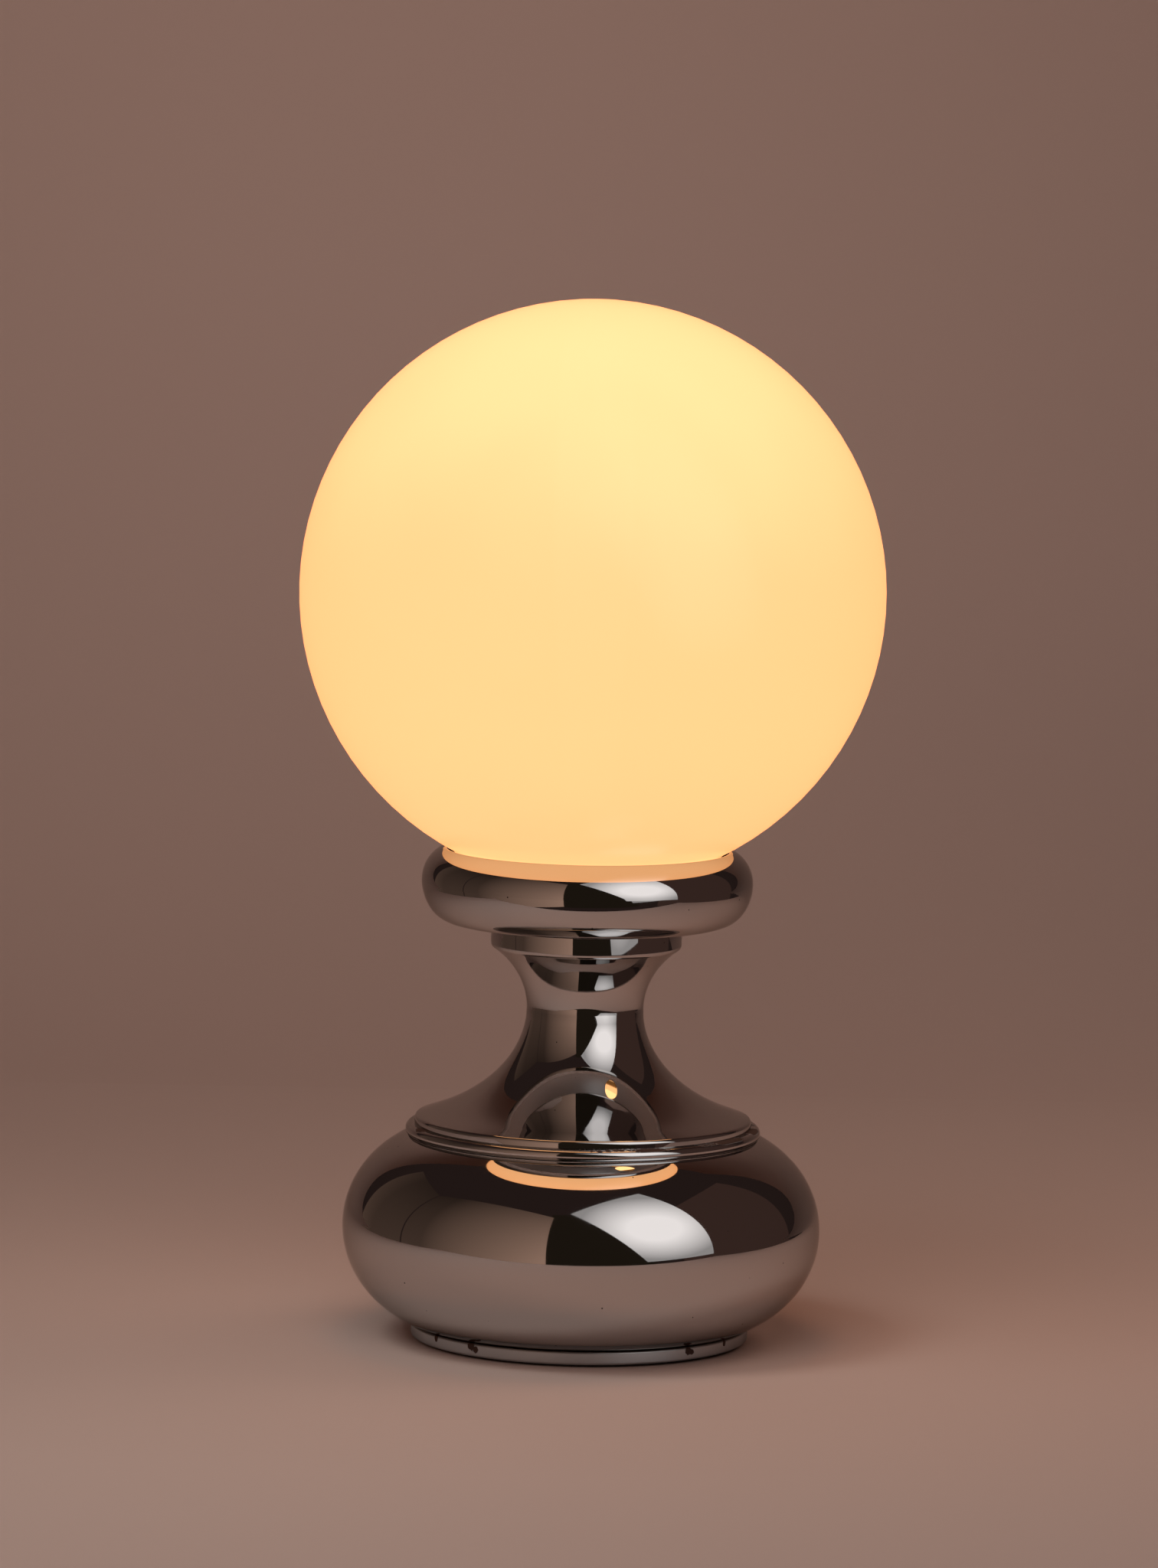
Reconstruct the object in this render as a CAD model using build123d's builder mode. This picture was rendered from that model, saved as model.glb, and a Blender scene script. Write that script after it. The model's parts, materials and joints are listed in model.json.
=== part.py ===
"""Globe table lamp: an opal glass ball in a chromed ring gallery, on a turned neck and a bulbous base.

Millimetres, +Z up. The origin is the centre of the felt pad's underside, where the lamp stands on the table.
The front of the lamp faces -Y and the lead comes in at the back, on the +Y side.
"""

import os
from math import asin, atan2, cos, degrees, radians, sin, sqrt, tan

from build123d import *

# Sheet metal and fits
sheet = 1.2  # wall of the spun and pressed shells
hole_clearance = 0.3  # round a rod or a screw that passes through
thread_clearance = 0.05  # radial, between a nut and what it turns on
nest_gap = 0.2  # between curved faces that nest in each other
nut_sides = 6
countersink_angle = 90.0

# Bottom closure: felt, plate and foot ring
felt_thickness = 2.0
felt_margin = 0.6  # felt edge inside the foot ring
plate_thickness = 2.0
ledge_thickness = 2.5
ledge_width = 9.3  # from the foot ring's wall in to the hole in its ledge and in the bowl's flange
foot_lift = 0.8  # the foot ring stays this far off the table
foot_step = 1.0  # the foot ring stands proud of the bowl's lower edge
foot_wall = 2.0
foot_round = 0.9
plate_screw_count = 3
plate_screw_start = 90.0
plate_screw_radius = 1.5
plate_screw_head_radius = 2.8
plate_screw_spare = 1.0  # thread showing past its nut
plate_nut_flats = 5.5
plate_nut_height = 2.4

# Base weight and its bolt
weight_height = 24.0
weight_clearance = 2.0
weight_chamfer = 1.5
bolt_radius = 3.0
bolt_head_radius = 4.8
bolt_spare = 1.5
bolt_nut_flats = 10.0
bolt_nut_height = 5.0

# Base bowl: a ring of elliptical section, closed by a flat crown and a flat flange
bowl_centre_radius = 54.3
bowl_half_width = 48.25
bowl_half_height = 44.4
bowl_foot_angle = 69.4  # where the section runs into the flange, below its middle
bowl_crown_angle = 81.6  # where it runs into the crown, above its middle

# Lead inlet in the back of the bowl
inlet_angle = 29.0  # below the middle of the bowl's section
bush_bore_radius = 3.4
bush_wall = 1.6
bush_flange_width = 2.6
bush_flange_thickness = 1.6
bush_edge_round = 0.6
bush_spare = 2.0
bush_nut_wall = 2.0
bush_nut_height = 3.0

# Shoulder ring
shoulder_rise = 0.8  # its top above the bowl's crown
bead_radius = 2.6
bead_step = 1.3  # centre of the bead outside the neck's flare
shoulder_land = 8.0  # flat top inside the bead's centre line

# Neck column
waist_radius = 25.0
flare_reach = 16.79  # end of the lower trumpet, outside the middle of the bowl's section
flare_height = 50.3
flare_angle = 61.8  # turn of the lower trumpet's ellipse
flare_cone = 6.1  # width of the straight cone that the ellipse runs out into
flare_edge_inside = 0.435  # inside radius of the brim's bend
flare_wall_height = 1.928
upper_width = 40.55
upper_height = 33.86
upper_angle = 50.57  # turn of the upper trumpet's ellipse
collar_edge = 2.5
collar_band = 7.5
collar_top_round = 1.5

# Threaded rod and the stack that it clamps
rod_radius = 5.0
rod_bore_radius = 3.6
rod_spare = 4.0
crown_washer_radius = 20.0
crown_washer_thickness = 2.0
tag_radius = 9.0
tag_thickness = 0.8
tag_tongue_width = 6.0
tag_reach = 15.0  # from the rod's axis to the earth lead
lock_washer_radius = 9.5
lock_washer_thickness = 1.0
rod_nut_flats = 14.0
rod_nut_height = 5.0
gallery_washer_margin = 0.8  # washer past the nut's corners
gallery_washer_thickness = 1.5
riser_length = 35.0
riser_wall = 2.2

# Globe shade
globe_radius = 125.0
globe_wall = 3.0
globe_neck_radius = 56.0
globe_neck_length = 24.95
globe_neck_fillet = 1.5
globe_rim_round = 0.8
gasket_thickness = 3.5
gasket_margin = 0.1

# Gallery
floor_margin = 1.3  # flat floor outside the globe's neck
gallery_lower_height = 17.8
gallery_shoulder = 9.4
lip_radius = 2.5
lip_clearance = 3.0  # between the rolled lip and the globe's neck
lip_turn = 160.0
globe_gap = 0.5  # between the rolled lip and the ball
vent_count = 2
vent_edge = 0.2  # flat metal left on each side of a vent
vent_start = -47.5  # direction of the first vent, front right

# Lampholder
holder_radius = 20.5
holder_boss_radius = 8.5
holder_boss_height = 6.0
holder_dome_height = 14.0
holder_cap_band = 4.0
holder_cap_wall = 1.5
holder_floor = 2.0
insert_plug_depth = 6.0
insert_flange = 3.0
insert_top_plug = 6.0
skirt_wall = 3.0
skirt_height = 30.0
skirt_round = 1.0
holder_screw_radius = 2.0
holder_screw_height = 2.5
holder_screw_offset = 4.0
terminal_spread = 9.0  # from the axis to each of the holder's terminals
shell_bore_radius = 13.5
shell_wall = 0.9
shell_height = 21.0
shell_foot_radius = 9.0  # hole in the screw shell's turned-in foot
shell_foot_thickness = 0.8
contact_foot_radius = 5.0
contact_foot_thickness = 0.8
contact_radius = 3.5
contact_height = 3.0

# Bulb
bulb_contact_gap = 0.1
tip_radius = 4.8
tip_height = 1.5
insulator_low_radius = 6.5
insulator_height = 4.5
cap_thread_gap = 0.4  # radial, between the bulb's thread and the screw shell
cap_height = 20.0
cap_wall = 0.7
thread_pitch = 3.629
thread_depth = 0.55
thread_turns = 4
ridge_half_width = 0.9  # of one thread ridge, along the axis
glass_wall = 0.8
glass_fit = 0.2  # between the glass and the cap round it
glass_seat = 14.0  # length of glass inside the cap
bulb_neck_radius = 15.0
bulb_neck_rise = 3.0  # from the cap to the full neck
bulb_neck_straight = 2.4
bulb_ball_radius = 30.0
bulb_ball_angle = 38.0  # the ball runs into the neck here, below its middle
stem_foot = 2.0
stem_radius = 4.0
stem_height = 40.0
wire_radius = 0.4
wire_root = 3.0  # from the axis, where a wire leaves the stem
wire_rise = 4.0
wire_reach = 12.0  # from the axis, at the filament
wire_slope = 10.0
wire_end = 6.0
wire_bend = 2.0
filament_radius = 0.5
filament_gap = 0.05
filament_drop = 2.0  # below the wires' ends

# Terminal block and leads
block_pitch = 10.0
block_end = 1.0
block_depth = 18.0
block_height = 14.0
block_round = 1.0
block_offset = 30.0  # behind the lamp's axis
pole_count = 3
pole_bore_radius = 1.7
pole_bore_height = 6.0
pole_screw_radius = 1.8
pole_screw_spacing = 9.0
screws_per_pole = 2
pole_screw_sink = 1.0
fix_screw_radius = 1.5
fix_screw_head_radius = 2.4
fix_screw_head_height = 2.0
fix_screw_grip = 8.0
fix_screw_count = pole_count - 1
lead_radius = 1.0
lead_spread = 1.7  # from the axis, inside the rod
lead_bend = 6.0
lead_gather_bend = 20.0
lead_top_bend = 2.5
lead_top_rise = 2.0  # straight run past the rod's end
lead_tail = 3.0  # straight run into the holder's terminal
lead_nip = 0.1  # between a lead and the screw over it
lead_insertion = 6.0
lead_run = 13.0  # level run in front of the block
lead_gather = 12.0  # below the rod, where the leads come together

# Heights and radii that follow from the sizes above
plate_top = felt_thickness + plate_thickness
flange_z = plate_top + ledge_thickness
weight_top = plate_top + weight_height
bowl_foot_radius = bowl_centre_radius + bowl_half_width * cos(radians(bowl_foot_angle))
bowl_centre_z = flange_z + bowl_half_height * sin(radians(bowl_foot_angle))
crown_z = bowl_centre_z + bowl_half_height * sin(radians(bowl_crown_angle))
inner_crown_angle = degrees(asin((crown_z - sheet - bowl_centre_z) / (bowl_half_height - sheet)))
inner_foot_angle = degrees(asin((bowl_centre_z - flange_z - sheet) / (bowl_half_height - sheet)))
foot_radius = bowl_foot_radius + foot_step
foot_inner_radius = foot_radius - foot_wall
opening_radius = foot_inner_radius - ledge_width
weight_radius = opening_radius - weight_clearance
plate_radius = foot_inner_radius - hole_clearance
plate_screw_circle = (opening_radius + foot_inner_radius) / 2
plate_screw_end = flange_z + sheet + plate_nut_height + plate_screw_spare
countersink_slope = tan(radians(countersink_angle / 2))
plate_screw_head_height = (plate_screw_head_radius - plate_screw_radius) / countersink_slope
bolt_head_height = (bolt_head_radius - bolt_radius) / countersink_slope
rod_hole_radius = rod_radius + hole_clearance
rod_thread_radius = rod_radius + thread_clearance

# The inlet: a plane on the bowl's wall, square to it
inlet_sine = sin(radians(inlet_angle))
inlet_cosine = cos(radians(inlet_angle))
inlet_point = (
    0,
    bowl_centre_radius + bowl_half_width * inlet_cosine,
    bowl_centre_z - bowl_half_height * inlet_sine,
)
inlet_plane = Plane(
    origin=inlet_point,
    x_dir=(1, 0, 0),
    z_dir=(0, inlet_cosine / bowl_half_width, -inlet_sine / bowl_half_height),
)
inlet_axis = Axis(inlet_point, inlet_plane.z_dir)
wall_curve = ((bowl_half_width * inlet_sine) ** 2 + (bowl_half_height * inlet_cosine) ** 2) ** 1.5
wall_bend_radius = wall_curve / (bowl_half_width * bowl_half_height) - sheet
bush_radius = bush_bore_radius + bush_wall
bush_nut_flats = 2 * (bush_radius + bush_nut_wall)
bush_nut_corner = bush_nut_flats / sqrt(3)
bush_nut_sag = bush_nut_corner**2 / (2 * wall_bend_radius) + nest_gap
bush_barrel = sheet + bush_nut_sag + bush_nut_height + bush_spare

# The neck, from the shoulder ring up
shoulder_top = crown_z + shoulder_rise
flare_end_radius = bowl_centre_radius + flare_reach
flare_turn_radius = flare_end_radius - flare_cone
flare_width = (flare_turn_radius - waist_radius) / (1 - cos(radians(flare_angle)))
flare_slope = atan2(flare_height * cos(radians(flare_angle)), flare_width * sin(radians(flare_angle)))
flare_edge = flare_edge_inside + sheet
flare_radius = flare_end_radius + flare_edge * (1 - sin(flare_slope))
bead_centre_radius = flare_radius + bead_step
flare_edge_z = shoulder_top + flare_wall_height
flare_end_z = flare_edge_z + flare_edge * cos(flare_slope)
flare_turn_z = flare_end_z + flare_cone * tan(flare_slope)
waist_z = flare_turn_z + flare_height * sin(radians(flare_angle))
upper_slope = atan2(upper_height * cos(radians(upper_angle)), upper_width * sin(radians(upper_angle)))
upper_end_radius = waist_radius + upper_width * (1 - cos(radians(upper_angle)))
collar_radius = upper_end_radius + collar_edge * (1 - sin(upper_slope))
collar_edge_z = waist_z + upper_height * sin(radians(upper_angle)) + collar_edge * cos(upper_slope)
neck_top = collar_edge_z + collar_band + collar_top_round

# The gallery and the globe, from the top of the neck up
floor_z = neck_top + sheet
globe_neck_inner = globe_neck_radius - globe_wall
globe_rim_z = floor_z + gasket_thickness
globe_joint_z = globe_rim_z + globe_neck_length
globe_z = globe_joint_z + sqrt(globe_radius**2 - globe_neck_radius**2)
floor_radius = globe_neck_radius + floor_margin
lip_centre_radius = globe_neck_radius + lip_clearance + lip_radius
lip_z = globe_z - sqrt((globe_radius + globe_gap + lip_radius) ** 2 - lip_centre_radius**2)
gallery_radius = lip_centre_radius + gallery_shoulder
gallery_mid_z = neck_top + gallery_lower_height
gallery_belly = gallery_radius - floor_radius
lip_rise = lip_z - gallery_mid_z
shoulder_bend = (gallery_shoulder**2 + lip_rise**2 - lip_radius**2) / (2 * (gallery_shoulder - lip_radius))
shoulder_centre_radius = gallery_radius - shoulder_bend
shoulder_end = degrees(atan2(lip_rise, lip_centre_radius - shoulder_centre_radius))
vent_circle = (collar_radius + floor_radius) / 2
vent_radius = (floor_radius - collar_radius) / 2 - vent_edge

# The clamped stack, the lampholder and the bulb
crown_washer_z = crown_z - sheet - crown_washer_thickness
tag_z = crown_washer_z - tag_thickness
lock_washer_z = tag_z - lock_washer_thickness
crown_nut_z = lock_washer_z - rod_nut_height
rod_low = crown_nut_z - rod_spare
gallery_washer_radius = rod_nut_flats / sqrt(3) + gallery_washer_margin
gallery_nut_z = floor_z + gallery_washer_thickness
riser_z = gallery_nut_z + rod_nut_height
holder_z = riser_z + riser_length
holder_dome_z = holder_z + holder_boss_height + holder_dome_height
insert_z = holder_dome_z + holder_cap_band
skirt_z = insert_z + insert_flange
insert_top = skirt_z + insert_top_plug
rod_top = holder_z + holder_boss_height + holder_floor
tip_z = insert_top + contact_height + bulb_contact_gap
bulb_cap_z = tip_z + tip_height + insulator_height
bulb_cap_top = bulb_cap_z + cap_height
bulb_cap_radius = shell_bore_radius - cap_thread_gap
bulb_cap_inner = bulb_cap_radius - thread_depth - cap_wall
glass_seat_radius = bulb_cap_inner - glass_fit
stem_top = bulb_cap_top - glass_seat + stem_foot + stem_height
filament_z = stem_top + wire_rise + wire_slope + wire_end - filament_drop
filament_length = 2 * (wire_reach - wire_radius - filament_gap)
bulb_curve = (bulb_ball_radius * cos(radians(bulb_ball_angle)) - bulb_neck_radius) / (
    1 - cos(radians(bulb_ball_angle))
)
bulb_curve_z = bulb_cap_top + bulb_neck_rise + bulb_neck_straight
bulb_ball_z = bulb_curve_z + (bulb_ball_radius + bulb_curve) * sin(radians(bulb_ball_angle))

# The terminal block and the ends of the leads
block_width = pole_count * block_pitch + 2 * block_end
block_top = weight_top + block_height
pole_z = weight_top + pole_bore_height
pole_screw_low = pole_z + lead_radius + lead_nip
lead_start = block_offset - block_depth / 2 + lead_insertion
insert_underside = insert_z - insert_plug_depth


def around(centre_radius, centre_z, radius, angle):
    """A point of a section, at an angle on a circle round the given centre."""
    return (centre_radius + radius * cos(radians(angle)), centre_z + radius * sin(radians(angle)))


os.makedirs("parts", exist_ok=True)

# Felt pad, the face that the lamp stands on
with BuildPart() as felt_pad:
    with BuildSketch():
        Circle(foot_inner_radius - felt_margin)
    extrude(amount=felt_thickness)
felt_pad.part.label = "felt_pad"
export_step(felt_pad.part, "parts/felt_pad.step")

# Bottom plate, screwed up against the foot ring's ledge
with BuildPart() as bottom_plate:
    with BuildSketch(Plane.XY.offset(felt_thickness)):
        Circle(plate_radius)
    extrude(amount=plate_thickness)
    with Locations(Plane(origin=(0, 0, felt_thickness), x_dir=(1, 0, 0), z_dir=(0, 0, -1))):
        with PolarLocations(plate_screw_circle, plate_screw_count, -plate_screw_start):
            CounterSinkHole(
                plate_screw_radius + hole_clearance,
                plate_screw_head_radius + hole_clearance,
                counter_sink_angle=countersink_angle,
            )
        CounterSinkHole(
            bolt_radius + hole_clearance,
            bolt_head_radius + hole_clearance,
            counter_sink_angle=countersink_angle,
        )
bottom_plate.part.label = "bottom_plate"
export_step(bottom_plate.part, "parts/bottom_plate.step")

# Foot ring, with the ledge that the bowl's flange and the plate are clamped on
with BuildPart() as foot_ring:
    with BuildSketch(Plane.XZ) as foot_section:
        with BuildLine():
            Polyline(
                (opening_radius, plate_top),
                (opening_radius, flange_z),
                (foot_radius, flange_z),
                (foot_radius, foot_lift),
                (foot_inner_radius, foot_lift),
                (foot_inner_radius, plate_top),
                close=True,
            )
        make_face()
        fillet(foot_section.vertices().group_by(Axis.X)[-1], foot_round)
    revolve()
    with BuildSketch(Plane.XY.offset(plate_top)):
        with PolarLocations(plate_screw_circle, plate_screw_count, plate_screw_start):
            Circle(plate_screw_radius + hole_clearance)
    extrude(amount=ledge_thickness, mode=Mode.SUBTRACT)
foot_ring.part.label = "foot_ring"
export_step(foot_ring.part, "parts/foot_ring.step")

# Countersunk screws that hold the plate, the foot ring and the bowl together
with BuildPart() as plate_screws:
    with BuildSketch(Plane.XY.offset(felt_thickness)):
        with PolarLocations(plate_screw_circle, plate_screw_count, plate_screw_start):
            Circle(plate_screw_radius)
    extrude(amount=plate_screw_end - felt_thickness)
    with Locations((0, 0, felt_thickness)):
        with PolarLocations(plate_screw_circle, plate_screw_count, plate_screw_start):
            Cone(
                plate_screw_head_radius,
                plate_screw_radius,
                plate_screw_head_height,
                align=(Align.CENTER, Align.CENTER, Align.MIN),
            )
plate_screws.part.label = "plate_screws"
export_step(plate_screws.part, "parts/plate_screws.step")

# Nuts of those screws, on the bowl's flange
with BuildPart() as plate_nuts:
    with BuildSketch(Plane.XY.offset(flange_z + sheet)):
        with PolarLocations(plate_screw_circle, plate_screw_count, plate_screw_start):
            RegularPolygon(plate_nut_flats / 2, nut_sides, major_radius=False)
            Circle(plate_screw_radius + thread_clearance, mode=Mode.SUBTRACT)
    extrude(amount=plate_nut_height)
plate_nuts.part.label = "plate_nuts"
export_step(plate_nuts.part, "parts/plate_nuts.step")

# Cast weight that keeps the lamp upright
with BuildPart() as base_weight:
    with BuildSketch(Plane.XY.offset(plate_top)):
        Circle(weight_radius)
        Circle(bolt_radius + hole_clearance, mode=Mode.SUBTRACT)
    extrude(amount=weight_height)
    chamfer(base_weight.edges().group_by(Axis.Z)[-1].sort_by(SortBy.LENGTH)[-1], weight_chamfer)
    with BuildSketch(Plane.XY.offset(weight_top)):
        with Locations((0, block_offset)):
            with GridLocations(block_pitch, 0, fix_screw_count, 1):
                Circle(fix_screw_radius + thread_clearance)
    extrude(amount=-fix_screw_grip - hole_clearance, mode=Mode.SUBTRACT)
base_weight.part.label = "base_weight"
export_step(base_weight.part, "parts/base_weight.step")

# Bolt that holds the weight on the plate
with BuildPart() as weight_bolt:
    with BuildSketch(Plane.XY.offset(felt_thickness)):
        Circle(bolt_radius)
    extrude(amount=weight_top + bolt_nut_height + bolt_spare - felt_thickness)
    with Locations((0, 0, felt_thickness)):
        Cone(
            bolt_head_radius,
            bolt_radius,
            bolt_head_height,
            align=(Align.CENTER, Align.CENTER, Align.MIN),
        )
weight_bolt.part.label = "weight_bolt"
export_step(weight_bolt.part, "parts/weight_bolt.step")

with BuildPart() as weight_nut:
    with BuildSketch(Plane.XY.offset(weight_top)):
        RegularPolygon(bolt_nut_flats / 2, nut_sides, major_radius=False)
        Circle(bolt_radius + thread_clearance, mode=Mode.SUBTRACT)
    extrude(amount=bolt_nut_height)
weight_nut.part.label = "weight_nut"
export_step(weight_nut.part, "parts/weight_nut.step")

# Base bowl: a spun shell, open at its crown for the rod and at its flange for the weight
with BuildPart() as base_bowl:
    with BuildSketch(Plane.XZ):
        with BuildLine():
            bowl_outside = EllipticalCenterArc(
                (bowl_centre_radius, bowl_centre_z),
                bowl_half_width,
                bowl_half_height,
                bowl_crown_angle,
                arc_size=-bowl_crown_angle - bowl_foot_angle,
            )
            bowl_inside = EllipticalCenterArc(
                (bowl_centre_radius, bowl_centre_z),
                bowl_half_width - sheet,
                bowl_half_height - sheet,
                inner_crown_angle,
                arc_size=-inner_crown_angle - inner_foot_angle,
            )
            Polyline(
                bowl_outside @ 1,
                (opening_radius, flange_z),
                (opening_radius, flange_z + sheet),
                bowl_inside @ 1,
            )
            Polyline(
                bowl_inside @ 0,
                (rod_hole_radius, crown_z - sheet),
                (rod_hole_radius, crown_z),
                bowl_outside @ 0,
            )
        make_face()
    revolve()
    with BuildSketch(Plane.XY.offset(flange_z)):
        with PolarLocations(plate_screw_circle, plate_screw_count, plate_screw_start):
            Circle(plate_screw_radius + hole_clearance)
    extrude(amount=sheet, mode=Mode.SUBTRACT)
    with BuildSketch(inlet_plane):
        Circle(bush_radius + hole_clearance)
    extrude(amount=bush_barrel, both=True, mode=Mode.SUBTRACT)
base_bowl.part.label = "base_bowl"
export_step(base_bowl.part, "parts/base_bowl.step")

# Bush that the lead comes in through, square to the bowl's wall
with BuildPart() as cord_bush:
    with BuildSketch(inlet_plane):
        Circle(bush_radius + bush_flange_width)
    extrude(amount=bush_flange_thickness)
    fillet(cord_bush.faces().sort_by(inlet_axis)[-1].edges(), bush_edge_round)
    with BuildSketch(inlet_plane):
        Circle(bush_radius)
    extrude(amount=-bush_barrel)
    with BuildSketch(inlet_plane.offset(bush_flange_thickness)):
        Circle(bush_bore_radius)
    extrude(amount=-bush_flange_thickness - bush_barrel, mode=Mode.SUBTRACT)
cord_bush.part.label = "cord_bush"
export_step(cord_bush.part, "parts/cord_bush.step")

with BuildPart() as bush_nut:
    with BuildSketch(inlet_plane.offset(-sheet - bush_nut_sag)):
        RegularPolygon(bush_nut_flats / 2, nut_sides, major_radius=False)
        Circle(bush_radius + thread_clearance, mode=Mode.SUBTRACT)
    extrude(amount=-bush_nut_height)
bush_nut.part.label = "bush_nut"
export_step(bush_nut.part, "parts/bush_nut.step")

# Shoulder ring: a turned bead that beds on the bowl and carries the neck
with BuildPart() as shoulder_ring:
    with BuildSketch(Plane.XZ):
        with BuildLine():
            bead = CenterArc((bead_centre_radius, shoulder_top - bead_radius), bead_radius, 90, -180)
            Polyline(
                bead @ 1,
                (bead_centre_radius, bowl_centre_z),
                (bead_centre_radius - shoulder_land, bowl_centre_z),
                (bead_centre_radius - shoulder_land, shoulder_top),
                bead @ 0,
            )
        make_face()
        with Locations((bowl_centre_radius, bowl_centre_z)):
            Ellipse(bowl_half_width + nest_gap, bowl_half_height + nest_gap, mode=Mode.SUBTRACT)
    revolve()
shoulder_ring.part.label = "shoulder_ring"
export_step(shoulder_ring.part, "parts/shoulder_ring.step")

# Neck column: flare, waist and collar in one spun shell
with BuildPart() as neck_column:
    with BuildSketch(Plane.XZ):
        with BuildLine():
            CenterArc(
                (collar_radius - collar_top_round, neck_top - collar_top_round),
                collar_top_round,
                90,
                -90,
            )
            Line((collar_radius, neck_top - collar_top_round), (collar_radius, collar_edge_z))
            CenterArc((collar_radius - collar_edge, collar_edge_z), collar_edge, 0, degrees(upper_slope) - 90)
            EllipticalCenterArc(
                (waist_radius + upper_width, waist_z),
                upper_width,
                upper_height,
                180 - upper_angle,
                arc_size=upper_angle,
            )
            EllipticalCenterArc(
                (waist_radius + flare_width, waist_z),
                flare_width,
                flare_height,
                180,
                arc_size=flare_angle,
            )
            Line((flare_turn_radius, flare_turn_z), (flare_end_radius, flare_end_z))
            CenterArc(
                (flare_radius - flare_edge, flare_edge_z),
                flare_edge,
                90 - degrees(flare_slope),
                degrees(flare_slope) - 90,
            )
            flare_inside = EllipticalCenterArc(
                (waist_radius + flare_width, waist_z),
                flare_width + sheet,
                flare_height + sheet,
                180,
                arc_size=flare_angle,
            )
            upper_inside = EllipticalCenterArc(
                (waist_radius + upper_width, waist_z),
                upper_width + sheet,
                upper_height + sheet,
                180 - upper_angle,
                arc_size=upper_angle,
            )
            cone_inside = Line(
                flare_inside @ 1,
                (flare_end_radius - sheet * sin(flare_slope), flare_end_z - sheet * cos(flare_slope)),
            )
            ThreePointArc(
                cone_inside @ 1,
                around(
                    flare_radius - flare_edge,
                    flare_edge_z,
                    flare_edge_inside,
                    45 - degrees(flare_slope) / 2,
                ),
                (flare_radius - sheet, flare_edge_z),
            )
            ThreePointArc(
                upper_inside @ 0,
                around(
                    collar_radius - collar_edge,
                    collar_edge_z,
                    collar_edge - sheet,
                    degrees(upper_slope) / 2 - 45,
                ),
                (collar_radius - sheet, collar_edge_z),
            )
            Polyline(
                (flare_radius, flare_edge_z),
                (flare_radius, shoulder_top),
                (flare_radius - sheet, shoulder_top),
                (flare_radius - sheet, flare_edge_z),
            )
            Polyline(
                (collar_radius - sheet, collar_edge_z),
                (collar_radius - sheet, neck_top - sheet),
                (rod_hole_radius, neck_top - sheet),
                (rod_hole_radius, neck_top),
                (collar_radius - collar_top_round, neck_top),
            )
        make_face()
    revolve()
neck_column.part.label = "neck_column"
export_step(neck_column.part, "parts/neck_column.step")

# Hollow threaded rod through the whole stack
with BuildPart() as threaded_rod:
    with BuildSketch(Plane.XY.offset(rod_low)):
        Circle(rod_radius)
        Circle(rod_bore_radius, mode=Mode.SUBTRACT)
    extrude(amount=rod_top - rod_low)
threaded_rod.part.label = "threaded_rod"
export_step(threaded_rod.part, "parts/threaded_rod.step")

# Washer, earth tag, lock washer and nut under the bowl's crown
with BuildPart() as crown_washer:
    with BuildSketch(Plane.XY.offset(crown_washer_z)):
        Circle(crown_washer_radius)
        Circle(rod_hole_radius, mode=Mode.SUBTRACT)
    extrude(amount=crown_washer_thickness)
crown_washer.part.label = "crown_washer"
export_step(crown_washer.part, "parts/crown_washer.step")

with BuildPart() as earth_tag:
    with BuildSketch(Plane.XY.offset(tag_z)):
        Circle(tag_radius)
        SlotCenterPoint((0, tag_reach / 2), (0, tag_reach), tag_tongue_width)
        Circle(rod_hole_radius, mode=Mode.SUBTRACT)
    extrude(amount=tag_thickness)
earth_tag.part.label = "earth_tag"
export_step(earth_tag.part, "parts/earth_tag.step")

with BuildPart() as lock_washer:
    with BuildSketch(Plane.XY.offset(lock_washer_z)):
        Circle(lock_washer_radius)
        Circle(rod_hole_radius, mode=Mode.SUBTRACT)
    extrude(amount=lock_washer_thickness)
lock_washer.part.label = "lock_washer"
export_step(lock_washer.part, "parts/lock_washer.step")

with BuildPart() as crown_nut:
    with BuildSketch(Plane.XY.offset(crown_nut_z)):
        RegularPolygon(rod_nut_flats / 2, nut_sides, major_radius=False)
        Circle(rod_thread_radius, mode=Mode.SUBTRACT)
    extrude(amount=rod_nut_height)
crown_nut.part.label = "crown_nut"
export_step(crown_nut.part, "parts/crown_nut.step")

# Gallery: a ring-shaped cup of sheet metal with a rolled lip and vents in its floor
with BuildPart() as gallery_ring:
    with BuildSketch(Plane.XZ):
        with BuildLine():
            EllipticalCenterArc(
                (floor_radius, gallery_mid_z), gallery_belly, gallery_lower_height, -90, arc_size=90
            )
            CenterArc((shoulder_centre_radius, gallery_mid_z), shoulder_bend, 0, shoulder_end)
            lip_sweep = 90 + lip_turn - shoulder_end
            lip_outside = CenterArc((lip_centre_radius, lip_z), lip_radius, shoulder_end, lip_sweep)
            lip_inside = CenterArc((lip_centre_radius, lip_z), lip_radius - sheet, shoulder_end, lip_sweep)
            Line(lip_outside @ 1, lip_inside @ 1)
            CenterArc((shoulder_centre_radius, gallery_mid_z), shoulder_bend - sheet, 0, shoulder_end)
            EllipticalCenterArc(
                (floor_radius, gallery_mid_z),
                gallery_belly - sheet,
                gallery_lower_height - sheet,
                -90,
                arc_size=90,
            )
            Polyline(
                (floor_radius, floor_z),
                (rod_hole_radius, floor_z),
                (rod_hole_radius, neck_top),
                (floor_radius, neck_top),
            )
        make_face()
    revolve()
    with BuildSketch(Plane.XY.offset(neck_top)):
        with PolarLocations(vent_circle, vent_count, vent_start):
            Circle(vent_radius)
    extrude(amount=sheet, mode=Mode.SUBTRACT)
gallery_ring.part.label = "gallery_ring"
export_step(gallery_ring.part, "parts/gallery_ring.step")

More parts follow.
